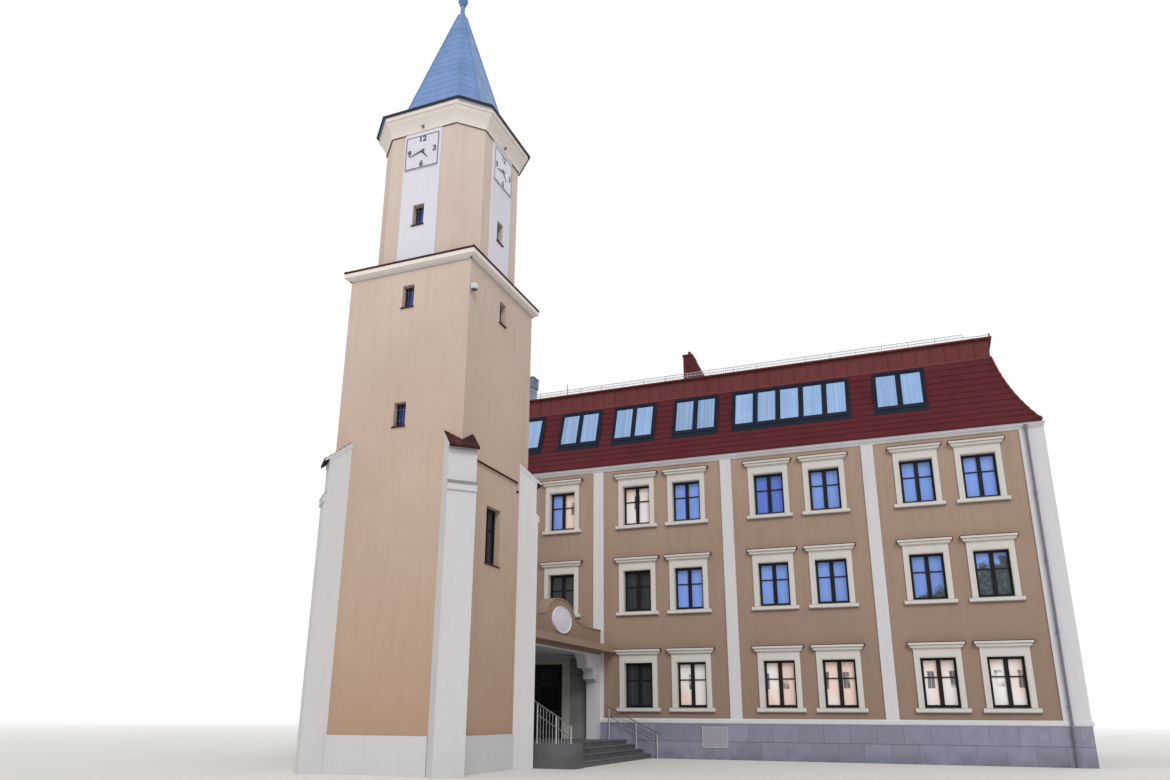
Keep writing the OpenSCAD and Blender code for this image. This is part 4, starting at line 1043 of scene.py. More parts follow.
            # Painted shadow: dark strips where shade falls under the hood's slab and under the sill.
            lines = ((top + 0.127, half + self.hood_over, 0.124 + over / 2), (-0.158, half + 0.11, 0.04))
            for z, reach, out in lines:
                far = reach - self.bed / 2
                joints.box((-far, face - out, z), (far, -self.bed, z + self.seam_h), place)
        fillets.piece("hood_fillets", CREAM, soft=0.003)
        flashing.piece("hood_flashing", FLASHING)
        joints.piece("surround_shadow_lines", GRIME_AND_SHADE)

    def build(self) -> None:
        """Dress the frames and glass and add the fine pieces."""
        dress(STAIN, "window_frames")
        dress(SHADE_PANE, "window_glass")
        self.sashes()
        self.panes()
        self.reveals()
        self.hoods()


@dataclass
class Mansard:
    """The curved slopes in stepped tile sheet, their hips, the crown and the roof lights."""

    block: Block
    run: float = 1.2
    rise: float = 3.07
    sag: float = 0.15
    eaves_out: float = 0.11
    edge_out: float = 0.02
    rows: int = 11
    pitch: float = 0.25
    steps: int = 6
    lip: float = 0.02
    wave: float = 0.006
    seam_pitch: float = 0.53
    coping_h: float = 0.06
    coping_out: float = 0.13
    seam: Pair = (0.007, 0.03)
    strap: Triple = (0.02, 0.004, 0.2)
    strap_every: int = 4
    folds: tuple[Triple, ...] = ((0.035, -0.03, 0.012), (0.018, 0.012, 0.05))
    hip_caps: int = 11
    hip_radii: Pair = (0.066, 0.05)
    hip_lift: float = 0.01
    hip_lap: float = 0.08
    knob: tuple[Pair, ...] = (
        (-0.06, 0.045), (-0.03, 0.078), (0.01, 0.086), (0.06, 0.075), (0.1, 0.045), (0.125, 0.012))
    cut_margin: float = 0.03
    light_w: float = 0.94
    light_lift: float = 1.13
    light_rise: float = 1.77
    light_side: float = 0.15
    light_head: float = 0.12
    light_foot: float = 0.24
    light_out: float = 0.04
    light_seed: int = 17
    collar_w: float = 0.06
    collar_deep: float = 0.12
    collar_lap: float = 0.004
    apron: Pair = (0.1, 0.16)
    sash_span: Pair = (0.045, 0.1)
    sash_ends: Pair = (0.06, 0.035)
    sash_gap: float = 0.012
    handle: Triple = (0.36, 0.07, 0.05)
    groups: tuple[tuple[float, int], ...] = ((4.65, 2), (8.945, 5), (12.94, 2), (15.73, 2),
                                             (18.3, 2), (21.12, 2), (23.97, 2))
    eaves: float = field(init=False)
    foot: float = field(init=False)
    crown: float = field(init=False)
    top: float = field(init=False)
    radius: float = field(init=False)
    lean: Pair = field(init=False)

    def __post_init__(self) -> None:
        """Work out the arc of the slope."""
        self.eaves = high("eaves_cornice").z
        self.crown, self.top = low("roof_crown").z, high("roof_crown").z
        self.foot = self.crown - self.rise
        chord = math.hypot(self.run, self.rise)
        self.radius = (chord / 2) ** 2 / (2 * self.sag) + self.sag / 2
        middle, half = math.atan2(self.rise, self.run), math.asin(chord / 2 / self.radius)
        self.lean = (middle - half, middle + half)

    def arc(self, share: float) -> tuple[Vector, Vector]:
        """Point and outward normal of the slope.

        Args:
            share: 0 at its foot, 1 at the crown.

        Returns:
            Both as vectors in wall coordinates, with x as 0.
        """
        a0, a1 = self.lean
        a = a0 + (a1 - a0) * share
        point = Vector((0, self.radius * (math.sin(a) - math.sin(a0)),
                        self.foot + self.radius * (math.cos(a0) - math.cos(a))))
        return point, Vector((0, -math.sin(a), math.cos(a)))

    def inset(self, z: float) -> float:
        """How far the slope has leant in at a height."""
        a = math.acos(math.cos(self.lean[0]) - (z - self.foot) / self.radius)
        return self.radius * (math.sin(a) - math.sin(self.lean[0]))

    def levels(self) -> list[tuple[Vector, Vector, float]]:
        """List the lines along the sheet, from the eaves up.

        Returns:
            Point, normal and lift of each.
        """
        out = Vector((0, -1, 0))
        made = [(Vector((0, -self.edge_out, z)), out, 0.0)
                for z in (self.eaves + 0.012, self.foot - self.edge_out - 0.01)]
        for row in range(self.rows):
            start = row / self.rows
            if row:
                made.append((*self.arc(start), 0.004))
            made += [(*self.arc(start), self.lip), (*self.arc(start + 0.1 / self.rows), self.lip * 0.92)]
        made.append((*self.arc(1), 0.004))
        return made

    def light_spans(self) -> list[Pair]:
        """Start and end of each group of roof lights along a long side."""
        middles = [(self.block.length - g, n * self.light_w / 2) for g, n in self.groups]
        return [(middle - half, middle + half) for middle, half in middles]

    def slope(self, side: Side) -> None:
        """Lay one slope of tile sheet, cut at its hips and round its roof lights.

        Args:
            side: The side that it is on.
        """
        run, over = self.block.run(side), self.pitch
        work = bmesh.new()
        count = round((run + 2 * over) / self.pitch) * self.steps
        xs = [-over + (run + 2 * over) * i / count for i in range(count + 1)]
        waves = [self.wave * abs(math.sin(math.pi * x / self.pitch)) for x in xs]
        lines = []
        for point, normal, lift in self.levels():
            share = lift / self.lip
            lines.append([work.verts.new(point + normal * (0.004 + lift + share * wave) + Vector((x, 0, 0)))
                          for x, wave in zip(xs, waves)])
        for a, b in zip(lines, lines[1:]):
            for j in range(count):
                work.faces.new((a[j], a[j + 1], b[j + 1], b[j]))
        self.split(work, [((0, 0, 0), (1, -1, 0)), ((run, 0, 0), (-1, -1, 0))], True)
        if side % 2 == 0:
            self.cut_lights(work)
        bench = Bench()
        bench.absorb(work, self.block.place(side))
        bench.piece(f"roof_sheet_{side.name.lower()}", ROOF, smooth=32, sheet=True)

    def split(self, work: bmesh.types.BMesh, planes: Sequence[tuple[Triple, Triple]], clear: bool) -> None:
        """Split a mesh along planes.

        Args:
            work: The mesh.
            planes: A point and the normal of each plane.
            clear: Whether what lies behind a plane is taken off.
        """
        for spot, facing in planes:
            whole = work.verts[:] + work.edges[:] + work.faces[:]
            bmesh.ops.bisect_plane(work, geom=whole, plane_co=spot, plane_no=facing, clear_inner=clear)

    def cut_lights(self, work: bmesh.types.BMesh) -> None:
        """Cut the sheet round the roof lights and take out what lies inside.

        Args:
            work: The sheet.
        """
        margin = self.cut_margin
        bottom = self.foot + self.light_lift - margin
        top = bottom + self.light_rise + 2 * margin
        spans = [(a - margin, b + margin) for a, b in self.light_spans()]
        planes = [((0, 0, z), (0, 0, 1)) for z in (bottom, top)]
        self.split(work, planes + [((x, 0, 0), (1, 0, 0)) for span in spans for x in span], False)
        spots = [(f, f.calc_center_median()) for f in work.faces]
        inside = [f for f, spot in spots if bottom < spot.z < top and any(a < spot.x < b for a, b in spans)]
        bmesh.ops.delete(work, geom=inside, context="FACES")

    def hips(self) -> None:
        """Overlapping caps along the four hips, with a knob at each foot."""
        bench = Bench()
        count = self.hip_caps
        out = Vector((-0.7, -0.7, 1.0)).normalized() * self.hip_lift
        spots = [Vector((p.y, p.y, p.z)) for p, _ in (self.arc(i / count) for i in range(count + 1))]
        for side in Side:
            place = self.block.place(side)
            for a, b in zip(spots, spots[1:]):
                bench.tube([a + out, b + out + (b - a) * self.hip_lap], self.hip_radii, 10, place)
            bench.turned(spots[0], self.knob, 14, place)
        bench.piece("hip_caps", ROOF_TRIM, smooth=50)

    def crown_sheet(self) -> None:
        """Standing seams, drip fold and coping straps of the crown."""
        bench = Bench()
        under, inner = self.top - self.coping_h, -self.run - 0.002
        (half, seam_h), (strap, lap, back) = self.seam, self.strap
        for side in Side:
            place = self.block.place(side)
            end = self.block.run(side) - self.run
            for i, x in enumerate(between(self.run, end, round((end - self.run) / self.seam_pitch)), 1):
                bench.box((x - half, self.run - seam_h, self.crown), (x + half, self.run, under), place)
                if i % self.strap_every == 0:
                    bench.box((x - strap, self.run - self.coping_out - lap, under - lap),
                              (x + strap, self.run + back, self.top + 2 * lap), place)
        for out, bottom, top in self.folds:
            self.block.belt(bench, strip(inner, out - self.run, self.crown + bottom, self.crown + top))
        bench.piece("crown_seams", CROWN, soft=0.002)

    def drip(self) -> None:
        """Dark flashing on the cornice with a small drip."""
        bench = Bench()
        z, out, fold = self.eaves - 0.002, self.eaves_out + 0.0005, self.eaves_out + 0.008
        self.block.belt(bench, [(-0.01, z), (out, z), (out, z - 0.022), (fold, z - 0.022), (fold, z + 0.006),
                                (-0.01, z + 0.02)])
        bench.piece("eaves_flashing", ZINC_EDGE)

    def lights(self) -> None:
        """Collars and sashes of the roof lights, in the plane of each light."""
        collars, sashes, panes = Bench(), Bench(), Bench()
        draw = random.Random(self.light_seed)
        z = self.foot + self.light_lift
        run = self.inset(z + self.light_rise) - self.inset(z)
        lean = turn(math.degrees(math.atan2(self.light_rise, run)), "X")
        tall = math.hypot(self.light_rise, run)
        a, b = self.light_side, self.light_w - self.light_side
        foot, head = self.light_foot, tall - self.light_head
        out, proud, top = self.light_out - 0.01, self.light_out + 0.02, self.light_out + self.sash_gap
        (near, wing), (low_end, high_end), (share, start_z, end_z) = self.sash_span, self.sash_ends, self.handle
        side_w, deep, lap, (apron_x, apron_y) = self.collar_w, self.collar_deep, self.collar_lap, self.apron
        for side, ((start, _), (_, count)) in itertools.product((Side.FRONT, Side.BACK),
                                                                zip(self.light_spans(), self.groups)):
            place = self.block.place(side) @ shift(start, self.inset(z), z) @ lean
            wide = count * self.light_w
            for x in (-side_w, wide - lap):
                collars.box((x, -0.02, -deep), (x + side_w + lap, tall + 0.02, top), place)
            collars.box((-side_w, tall - lap, -deep), (wide + side_w, tall + 0.09, top + 2 * lap), place)
            collars.wedge((-apron_x, wide + apron_x, -apron_y), (-side_w, wide + side_w, lap),
                          (-0.01, -0.1), (0.035, top), place)
            for k in range(count):
                unit = place @ shift(k * self.light_w, 0, 0)
                for x0, x1 in ((a - wing, a - near), (b + near, b + wing)):
                    sashes.box((x0, low_end, out), (x1, tall - high_end, proud), unit)
                for z0, z1 in ((head + self.sash_gap, tall - high_end), (low_end, foot - self.sash_gap)):
                    sashes.box((a - near, z0, out), (b + near, z1, proud), unit)
                sashes.box((self.light_w * share, tall - start_z, proud - 0.002),
                           (self.light_w * (1 - share), tall - end_z, proud + self.sash_gap), unit)
                panes.box((a - 0.05, foot - 0.002, self.light_out - 0.001),
                          (b + 0.05, head + 0.016, self.light_out + 0.006), unit, draw.random())
        collars.piece("roof_light_collars", LIGHT_FRAME, soft=0.005)
        sashes.piece("roof_light_sashes", LIGHT_FRAME, soft=0.004)
        panes.piece("roof_light_panes", LIGHT_GLASS)

    def build(self) -> None:
        """Dress the roof and add the fine pieces."""
        dress(ROOF_TRIM, "mansard_front", "mansard_back", "mansard_ends", "chimney")
        dress(CROWN, "roof_crown")
        dress(DECK, "roof_deck")
        dress(LIGHT_FRAME, "roof_light_frames")
        dress(LIGHT_GLASS, "roof_light_glass")
        dress(GUARD, "snow_guard")
        dress(VENT, "roof_fittings")
        for side in Side:
            self.slope(side)
        self.hips()
        self.crown_sheet()
        self.drip()
        self.lights()


@dataclass
class RoofTop:
    """What stands on the roof: guard bars, chimney trim and the vent's slats."""

    block: Block
    mansard: Mansard
    guard_y: float = 1.14
    guard_x: float = 2.08
    guard_h: float = 0.26
    bar_gap: float = 0.095
    bar: Pair = (0.007, 0.005)
    bar_ends: Pair = (0.04, 0.01)
    cable: tuple[Triple, ...] = ((0.0, 0.005, 0.012), (0.0, 0.1, 0.01), (0.5, 0.085, 0.009), (1.0, 0.12, 0.009))
    knob: tuple[Pair, ...] = ((0.0, 0.04), (0.03, 0.03), (0.1, 0.028), (0.15, 0.02), (0.17, 0.006))
    stack_w: float = 0.42
    stack_head: float = 0.3
    stack_collar: Triple = (0.03, 0.07, 0.02)
    stack_seams: Triple = (0.45, 0.9, 1.35)
    stack_seam: Triple = (0.012, 0.02, 0.03)
    stack_ribs: Pair = (0.2, 0.6)
    stack_rib: Triple = (0.02, 0.014, 0.1)
    vent: Pair = (0.6, 0.58)
    vent_h: float = 1.08
    slat: Triple = (0.014, 0.06, 0.04)
    slat_pitch: float = 0.085
    slat_count: int = 5
    lid: Triple = (0.03, 0.48, 0.04)

    def guard(self) -> None:
        """Close upright bars of the snow guard, and a cable along the crown to each corner."""
        bars, line = Bench(), Bench()
        start, end = self.guard_x, self.block.length - self.guard_x
        y, z = self.guard_y, self.mansard.top
        (half, deep), (foot, head) = self.bar, self.bar_ends
        for side in (Side.FRONT, Side.BACK):
            place = self.block.place(side)
            for x in between(start, end, round((end - start) / self.bar_gap)):
                bars.box((x - half, y - deep, z + foot), (x + half, y + deep, z + self.guard_h - head), place)
            for x0, x1 in ((y, start), (self.block.length - y, end)):
                path = [Vector((x0 + (x1 - x0) * share, y, z + up)) for share, up, _ in self.cable]
                line.tube(path, [radius for _, _, radius in self.cable], 6, place)
                line.turned((x0, y, z), self.knob, 10, place)
        bars.piece("snow_guard_bars", GUARD)
        line.piece("crown_cable", IRON, smooth=50)

    def chimney(self) -> None:
        """Cap, pot ring and folded seams of the chimney."""
        bench = Bench()
        a, b = corners("chimney")
        head = b.z - self.stack_head
        far = a.x + self.stack_w
        (over, under, above), (out, back, thick), (rib_out, rib, foot) = (
            self.stack_collar, self.stack_seam, self.stack_rib)
        bench.box((a.x - over, a.y - over, head - under), (far + over, b.y + over, head + above))
        for z in self.stack_seams:
            bench.box((a.x - out, a.y - out, a.z + z), (far - back, b.y + out, a.z + z + thick))
        for y in self.stack_ribs:
            bench.box((a.x - rib_out, a.y + y, a.z + foot), (a.x, a.y + y + rib, head - under))
        bench.piece("chimney_trim", ROOF_TRIM, soft=0.004)

    def vent_slats(self) -> None:
        """Slats and a top plate round the head of the ventilation unit."""
        bench = Bench()
        a, _ = corners("roof_fittings")
        reach, first, tall = self.slat
        slats = [(reach, first + k * self.slat_pitch, tall) for k in range(self.slat_count)]
        for out, up, thick in slats + [self.lid]:
            z = a.z + self.vent_h + up
            bench.box((a.x - out, a.y - out, z), (a.x + self.vent[0] + out, a.y + self.vent[1] + out, z + thick))
        bench.piece("vent_slats", VENT, soft=0.004)

    def build(self) -> None:
        """Make the pieces."""
        self.guard()
        self.chimney()
        self.vent_slats()


@dataclass
class Tower:
    """The square shaft with its diagonal buttresses, tiled caps and small windows."""

    cap_out: float = 0.36
    cap_z: float = 8.83
    cap_pitch: float = 0.8
    cap_lip: float = 0.025
    cap_in: float = 0.02
    cap_bed: float = 0.016
    cap_tiles: tuple[int, int] = (5, 6)
    slope_tiles: tuple[int, int] = (26, 3)
    tile_seed: int = 11
    tile_over: float = 0.03
    tile_in: float = 0.012
    roll: Triple = (0.03, 0.034, 0.034)
    buttress_w: float = 0.84
    belt_out: float = 0.18
    stage_in: float = 0.25
    stage_cut: float = 0.703
    slope_h: float = 0.2
    panel_top: float = 8.77
    panel_half: float = 1.613
    panel_deep: float = 0.06
    slit: Pair = (0.42, 0.75)
    slit_low: float = 9.81
    slit_drop: float = 1.54
    slot_up: float = 1.54
    loft: Triple = (0.91, 1.73, 5.86)
    sill_over: float = 0.03
    sill_ends: Pair = (0.002, 0.2)
    sash_in: float = 0.06
    sash_w: float = 0.03
    sash_span: Pair = (0.165, 0.2)
    bar_share: float = 0.62
    bar_span: Pair = (0.19, 0.24)
    pane_in: Pair = (0.035, 0.075)
    pane_span: Pair = (0.236, 0.244)
    rod_at: Triple = (0.07, 0.12, 0.2)
    rod_radii: Pair = (0.008, 0.007)
    rod_gap: float = 0.004
    ledge_in: float = 0.11
    corbels: int = 3
    corbel: Triple = (0.012, 0.26, 0.022)
    cam_r: float = 0.115
    cam_drop: float = 1.3
    mouldings: tuple[Triple, ...] = ((0.307, 7.545, 0.035), (0.3, 7.7, 0.03), (0.21, 8.73, 0.03))
    moulding_over: float = 0.012
    belt: Triple = (0.05, 0.285, 0.255)
    verge: Triple = (0.005, 0.075, 0.002)
    verge_in: float = 0.03
    lamp: tuple[Pair, ...] = ((0.0, 0.05), (0.04, 0.052), (0.06, 0.04), (0.07, 0.015))
    lamp_at: Pair = (0.1, 0.14)
    lamp_drop: float = 0.35
    beads_at: tuple[Triple, ...] = ((0.058, 0.0, 0.03), (0.275, 0.5, 0.035))
    middle: Vector = field(init=False)
    half: float = field(init=False)
    stage: float = field(init=False)
    top: float = field(init=False)

    def __post_init__(self) -> None:
        """Read the shaft from the frame."""
        a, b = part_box("tower_front_back")
        self.middle = (a + b) / 2 - ORIGIN
        self.half = (b.x - a.x) / 2
        self.stage = self.half - self.stage_in
        self.top = b.z

    def face(self, side: int) -> Matrix:
        """Tower coordinates turned to a side: outwards is -y, the shaft's axis is at 0."""
        return shift(self.middle.x, self.middle.y, 0) @ turn(90 * side)

    def nose(self, side: int) -> Matrix:
        """Coordinates of the buttress to the left of a side: outwards is -y, the shaft's corner is at 0."""
        return self.face(side) @ shift(-self.half, -self.half, 0) @ turn(-45)

    def ring(self, radius: float, z: float, lift: float = 0.0) -> list[Vector]:
        """Draw the clock stage's outline, scaled to a half width and then moved outwards.

        Args:
            radius: The half width.
            z: Its height.
            lift: How far it is moved.

        Returns:
            Its corners in tower coordinates.
        """
        h = radius + lift
        c = h - radius * self.stage_cut / self.stage - lift * OCTAGON_MITRE
        flat = ((-c, -h), (c, -h), (h, -c), (h, c), (c, h), (-c, h), (-h, c), (-h, -c))
        return [Vector((x, y, z)) for x, y in flat]

    def caps(self) -> None:
        """Clay tiles on the four buttress caps and on the slope over the shaft's cornice."""
        bench, draw = Bench(), random.Random(self.tile_seed)
        back = self.buttress_w / 2 + self.cap_lip
        cap = turn(math.degrees(math.atan(self.cap_pitch)), "X")
        cap_l = (self.cap_out + back - self.cap_in) * math.hypot(1, self.cap_pitch)
        run = self.belt_out + self.stage_in + 0.018
        tilt = turn(math.degrees(math.atan2(self.slope_h - 0.002, run)), "X")
        out, over = self.half + self.belt_out + self.tile_over, self.tile_over
        far = out - self.tile_in
        for side in Side:
            face = self.face(side)
            cap_foot = self.nose(side) @ shift(0, self.cap_in - self.cap_out, self.cap_z + self.cap_bed)
            bench.tiles(cap_foot @ cap, (2 * back - 0.002, cap_l), self.cap_tiles, draw)
            bench.tiles(face @ shift(0, -far, self.top + 0.004) @ tilt,
                        (2 * far, math.hypot(run, self.slope_h)), self.slope_tiles, draw, run)
            foot = face @ Vector((over - out, over - out, self.top + over))
            head = face @ Vector((-self.stage, -self.stage, self.top + self.slope_h + 0.01))
            bench.tube([foot, foot.lerp(head, 0.5), head], self.roll, 8, tone=0.4)
            bench.box((-far, -far, self.top - 0.032), (far - over, over - far, self.top + over), face)
        bench.piece("tower_tiles", CLAY, soft=0.002)

    def openings(self) -> Iterator[tuple[Matrix, float, float, float]]:
        """Go round the small windows.

        Returns:
            Wall place at the foot of each, its width, its height and its ledge's reach.
        """
        for side in Side:
            face = self.face(side)
            for z in ([self.slit_low] if side % 2 == 0 else []) + [self.top - self.slit_drop]:
                yield face @ shift(0, -self.half, z), *self.slit, 0.05
            yield face @ shift(0, -self.stage - 0.03, self.top + self.slot_up), *self.slit, 0.045
            if side % 2:
                wide, tall, z = self.loft
                yield face @ shift(0, self.panel_deep - self.half, z), wide, tall, 0.035

    def casement(self, bars: Bench, panes: Bench, place: Matrix) -> None:
        """Rims, a bar across and two panes in a loft window.

        Args:
            bars: Where the timber goes.
            panes: Where the glass goes.
            place: Foot of the opening.
        """
        w, tall, inside = self.loft[0] / 2, self.loft[1], self.sash_in
        (post, edge), bar_z = self.pane_in, self.loft[1] * self.bar_share
        bars.rim((inside - w, inside), (w - inside, tall - inside), self.sash_w, self.sash_span, place)
        bars.box((0.05 - w, self.bar_span[0], bar_z), (w - 0.05, self.bar_span[1], bar_z + self.sash_w), place)
        for (x0, x1), tone in zip(mirrored(post, w - edge), (0.2, 0.8)):
            panes.box((x0, self.pane_span[0], edge), (x1, self.pane_span[1], tall - edge), place, tone)

    def grille(self, bench: Bench, place: Matrix) -> None:
        """Two upright and two level rods in a small window.

        Args:
            bench: Where they go.
            place: Foot of the opening.
        """
        (wide, tall), (across, y, up), (thick, thin), gap = self.slit, self.rod_at, self.rod_radii, self.rod_gap
        for x in (-across, across):
            bench.turned((x, y, 0), ((gap, thick), (tall - gap, thick)), 6, place)
        for z in (up, tall - up):
            bench.tube([Vector((gap - wide / 2, y, z)), Vector((wide / 2 - gap, y, z))], (thin, thin), 6, place)

    def trim(self) -> None:
        """Sloped sills, casements and grilles, and the ledge over each sunk panel with its brackets."""
        sills, bars, ledges, loft, grille = (Bench() for _ in range(5))
        for place, wide, tall, reach in self.openings():
            w, (edge, deep) = wide / 2, self.sill_ends
            span = (-w - self.sill_over, w + self.sill_over)
            sills.wedge((*span, -reach), (*span, edge), (-0.05, -0.05), (-0.02, 0.0), place)
            sills.box((edge - w, 0.0, 0.0), (w - edge, deep, 0.006), place)
            if wide == self.loft[0]:
                self.casement(bars, loft, place)
            else:
                self.grille(grille, place)
        wide, (pitch, drop, tall) = self.panel_half - self.ledge_in, self.corbel
        for side in (Side.RIGHT, Side.LEFT):
            face = self.face(side) @ shift(0, -self.half, self.panel_top)
            ledges.box((-wide, -0.018, -0.01), (wide, self.panel_deep, 0.014), face)
            for (x0, x1), k in itertools.product(mirrored(wide - 0.004, self.panel_half), range(self.corbels)):
                z = -drop - tall * k
                ledges.box((x0, pitch * (k + 1), z - tall), (x1, self.panel_deep, z), face)
        sills.piece("tower_sills", CLAY, soft=0.003)
        bars.piece("tower_sashes", STAIN, soft=0.003)
        ledges.piece("panel_ledges", CLAY, soft=0.003)
        loft.piece("loft_panes", SHADE_PANE)
        grille.piece("slit_grilles", RAIL, smooth=60)

    def noses(self) -> None:
        """Weathered mouldings on the noses of the buttresses, under their caps and along the shaft's cornice, and a
        dark strip on each nose, partly dirt and partly painted shade.
        """
        bench, dirt_and_shade = Bench(), Bench()
        (over, foot, head), (thick, drop, lift), inside = self.belt, self.verge, self.verge_in
        w, h = self.buttress_w / 2 + self.moulding_over, self.half + over
        back = self.buttress_w / 2 + self.cap_lip
        ends = [self.cap_z + far * self.cap_pitch for far in (inside, self.cap_out + back)]
        for side in Side:
            nose = self.nose(side)
            for out, z, tall in self.mouldings:
                bench.box((-w, -out, z), (w, 0.1 - out, z + tall), nose)
            bench.box((-h, -h, self.top - foot), (h, 0.01 - self.half, self.top - head), self.face(side))
            for x in (-back - thick, back):
                bench.wedge((x, x + thick, inside - self.cap_out), (x, x + thick, back),
                            [z - drop for z in ends], [z + lift for z in ends], nose)
            # Dark strip on the ledge's top: partly dirt, partly painted shade that sets the pale ledge off.
            dirt_and_shade.wedge((-w, w, -0.31), (-w, w, -0.2), (7.731, 7.835), (7.74, 7.85), nose)
        bench.piece("tower_mouldings", TOWER_PALE, soft=0.004)
        dirt_and_shade.piece("nose_dirt_and_painted_shade", GRIME_AND_SHADE)

    def fittings(self) -> None:
        """Round lamps on the stage's cornice, its beads, and the camera's smoked dome."""
        lamps, lens, beads = Bench(), Bench(), Bench()
        crest = low("stage_cornice").z
        for side in Side:
            spot = self.face(side) @ Vector((0.0, -self.stage - self.lamp_at[0], crest + self.lamp_at[1]))
            out = (self.face(side).to_3x3() @ Vector((0, -1, -self.lamp_drop))).normalized()
            lamps.tube([spot + out * far for far, _ in self.lamp], [radius for _, radius in self.lamp], 14)
        lamps.piece("stage_lamps", PIPE, smooth=50)
        for out, foot, tall in self.beads_at:
            profile = strip(-0.02, out, crest + foot, crest + foot + tall)
            beads.skin([self.ring(self.stage, z, o) for o, z in profile], loop=True, place=self.face(Side.FRONT))
        beads.piece("stage_beads", CORNICE_PAINTED_LIGHT)
        spot = Vector((self.half + self.cam_r + 0.015, self.cam_r / 2 - self.half, self.top - self.cam_drop))
        r = self.cam_r + 0.0015
        arcs = [math.radians(90 * i / 6.3) for i in range(2, 7)]
        lens.skin([[spot + Vector((c * math.cos(a), s * math.cos(a), -math.sin(a))) * r
                    for c, s in circle(24)] for a in arcs], place=self.face(Side.FRONT))
        lens.piece("camera_dome", LENS, smooth=60)

    def build(self) -> None:
        """Dress the shaft and add its fine pieces."""
        dress(OCHRE_TOWER, "tower_front_back", "tower_sides", "clock_stage")
        dress(TOWER_PALE, "buttresses", "tower_foot")
        dress(STRIP_PALE, "clock_strips")
        dress(CORNICE_PAINTED_LIGHT, "tower_cornice", "stage_cornice")
        dress(CLAY, "tile_caps")
        dress(STAIN, "tower_window_frames")
        dress(TOWER_GLASS, "tower_window_glass")
        dress(CAMERA_SHELL, "dome_camera")
        self.caps()
        self.trim()
        self.noses()
        self.fittings()


@dataclass
class Clock:
    """Borders and figures of the four dials."""

    tower: Tower
    stand: float = 0.07
    inset: float = 0.003
    line: float = 0.03
    proud: float = 0.004
    figure: float = 0.3
    weight: float = 0.012
    reach: float = 0.485

    def outline(self, text: str) -> tuple[list[Vector], list[tuple[int, ...]]]:
        """Mesh one figure, standing in the plane of the dial.

        Args:
            text: The figure.

        Returns:
            Points and faces of its mesh.
        """
        curve = bpy.data.curves.new("figure", "FONT")
        curve.body, curve.size, curve.align_x, curve.align_y = text, self.figure, "CENTER", "CENTER"
        curve.extrude, curve.offset, curve.resolution_u = self.proud / 2, self.weight, 4
        holder = bpy.data.objects.new("figure", curve)
        mesh = bpy.data.meshes.new_from_object(holder)
        stand = turn(90, "X")
        made = ([stand @ v.co for v in mesh.vertices], [tuple(p.vertices) for p in mesh.polygons])
        bpy.data.objects.remove(holder)
        bpy.data.meshes.remove(mesh)
        bpy.data.curves.remove(curve)
        return made

    def build(self) -> None:
        """Dress dials and hands and add the borders and figures."""
        dress(DIAL, "clock_dials")
        for side in Side:
            dress(HAND, f"minute_hand_{side.name.lower()}", f"hour_hand_{side.name.lower()}")
        a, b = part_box("clock_dials")
        edge = (b.z - a.z) / 2 - self.inset
        figures = (("12", 0.0, self.reach), ("3", self.reach, 0.0), ("6", 0.0, -self.reach), ("9", -self.reach, 0.0))
        bench = Bench()
        for side in Side:
            place = self.tower.face(side) @ shift(0, -self.tower.stage - self.stand, (a.z + b.z) / 2)
            bench.rim((-edge, -edge), (edge, edge), self.line, (-self.proud, 0.001), place)
            for text, x, up in figures:
                bench.add(*self.outline(text), place @ shift(x, -self.proud / 2, up))
        bench.piece("dial_figures", FIGURE)


@dataclass
class Spire:
    """Courses of sheet, rolls on the ridges and the dark edge of the spire."""

    tower: Tower
    out: float = 0.353
    flare: float = 0.49
    flare_in: float = 0.539
    tip: float = 0.131
    tall: float = 5.92
    courses: int = 17
    seed: int = 5
    roll: float = 0.022
    eaves: float = field(init=False)
    lean: float = field(init=False)
    base: float = field(init=False)

    def __post_init__(self) -> None:
        """Work out the slope, and read the height of the eaves from the frame."""
        self.eaves = self.tower.stage + self.out
        self.lean = (self.eaves - self.flare_in - self.tip) / self.tall
        self.base = low("spire").z

    def ring(self, z: float, lift: float) -> list[Vector]:
        """Outline of the straight part at a height above the eaves."""
        return self.tower.ring(self.tip + (self.tall - z) * self.lean, self.base + z, lift)

    def flared(self, lift: float) -> list[list[Vector]]:
        """Outline at three heights of the flared foot.

        Args:
            lift: How far it is moved outwards.

        Returns:
            The three rings, from the eaves up.
        """
        z = self.flare * 0.45
        knee = self.tower.ring(self.eaves - self.flare_in * 0.7 - self.lean * z, self.base + z, lift)
        return [self.tower.ring(self.eaves, self.base + 0.04, lift), knee, self.ring(self.flare, lift)]

    def build(self) -> None:
        """Dress the spire and add the fine pieces."""
        dress(ZINC, "spire")
        shell, rolls, edge = Bench(), Bench(), Bench()
        draw, place = random.Random(self.seed), self.tower.face(Side.FRONT)
        step = (self.tall - self.flare) / self.courses
        for k in range(self.courses):
            z = self.flare + k * step
            shell.skin([self.ring(z, 0.0), self.ring(z, 0.009), self.ring(z + step, 0.003)], caps=False,
                       place=place, tone=draw.uniform(0.3, 0.7))
        shell.skin(self.flared(0.006), caps=False, place=place)
        shell.piece("spire_courses", ZINC, sheet=True)
        outlines = self.flared(0.01) + [self.ring(self.tall * 0.5, 0.01), self.ring(self.tall - 0.02, 0.01)]
        for path in zip(*outlines):
            rolls.tube(path, [self.roll] * 4 + [self.roll - 0.006], 8, place)
        rolls.piece("spire_rolls", ZINC, smooth=60)
        edge.skin([self.tower.ring(self.eaves, z, lift)
                   for lift, z in strip(-0.03, 0.012, self.base - 0.03, self.base + 0.05)], loop=True, place=place)
        edge.piece("spire_drip", ZINC_EDGE)


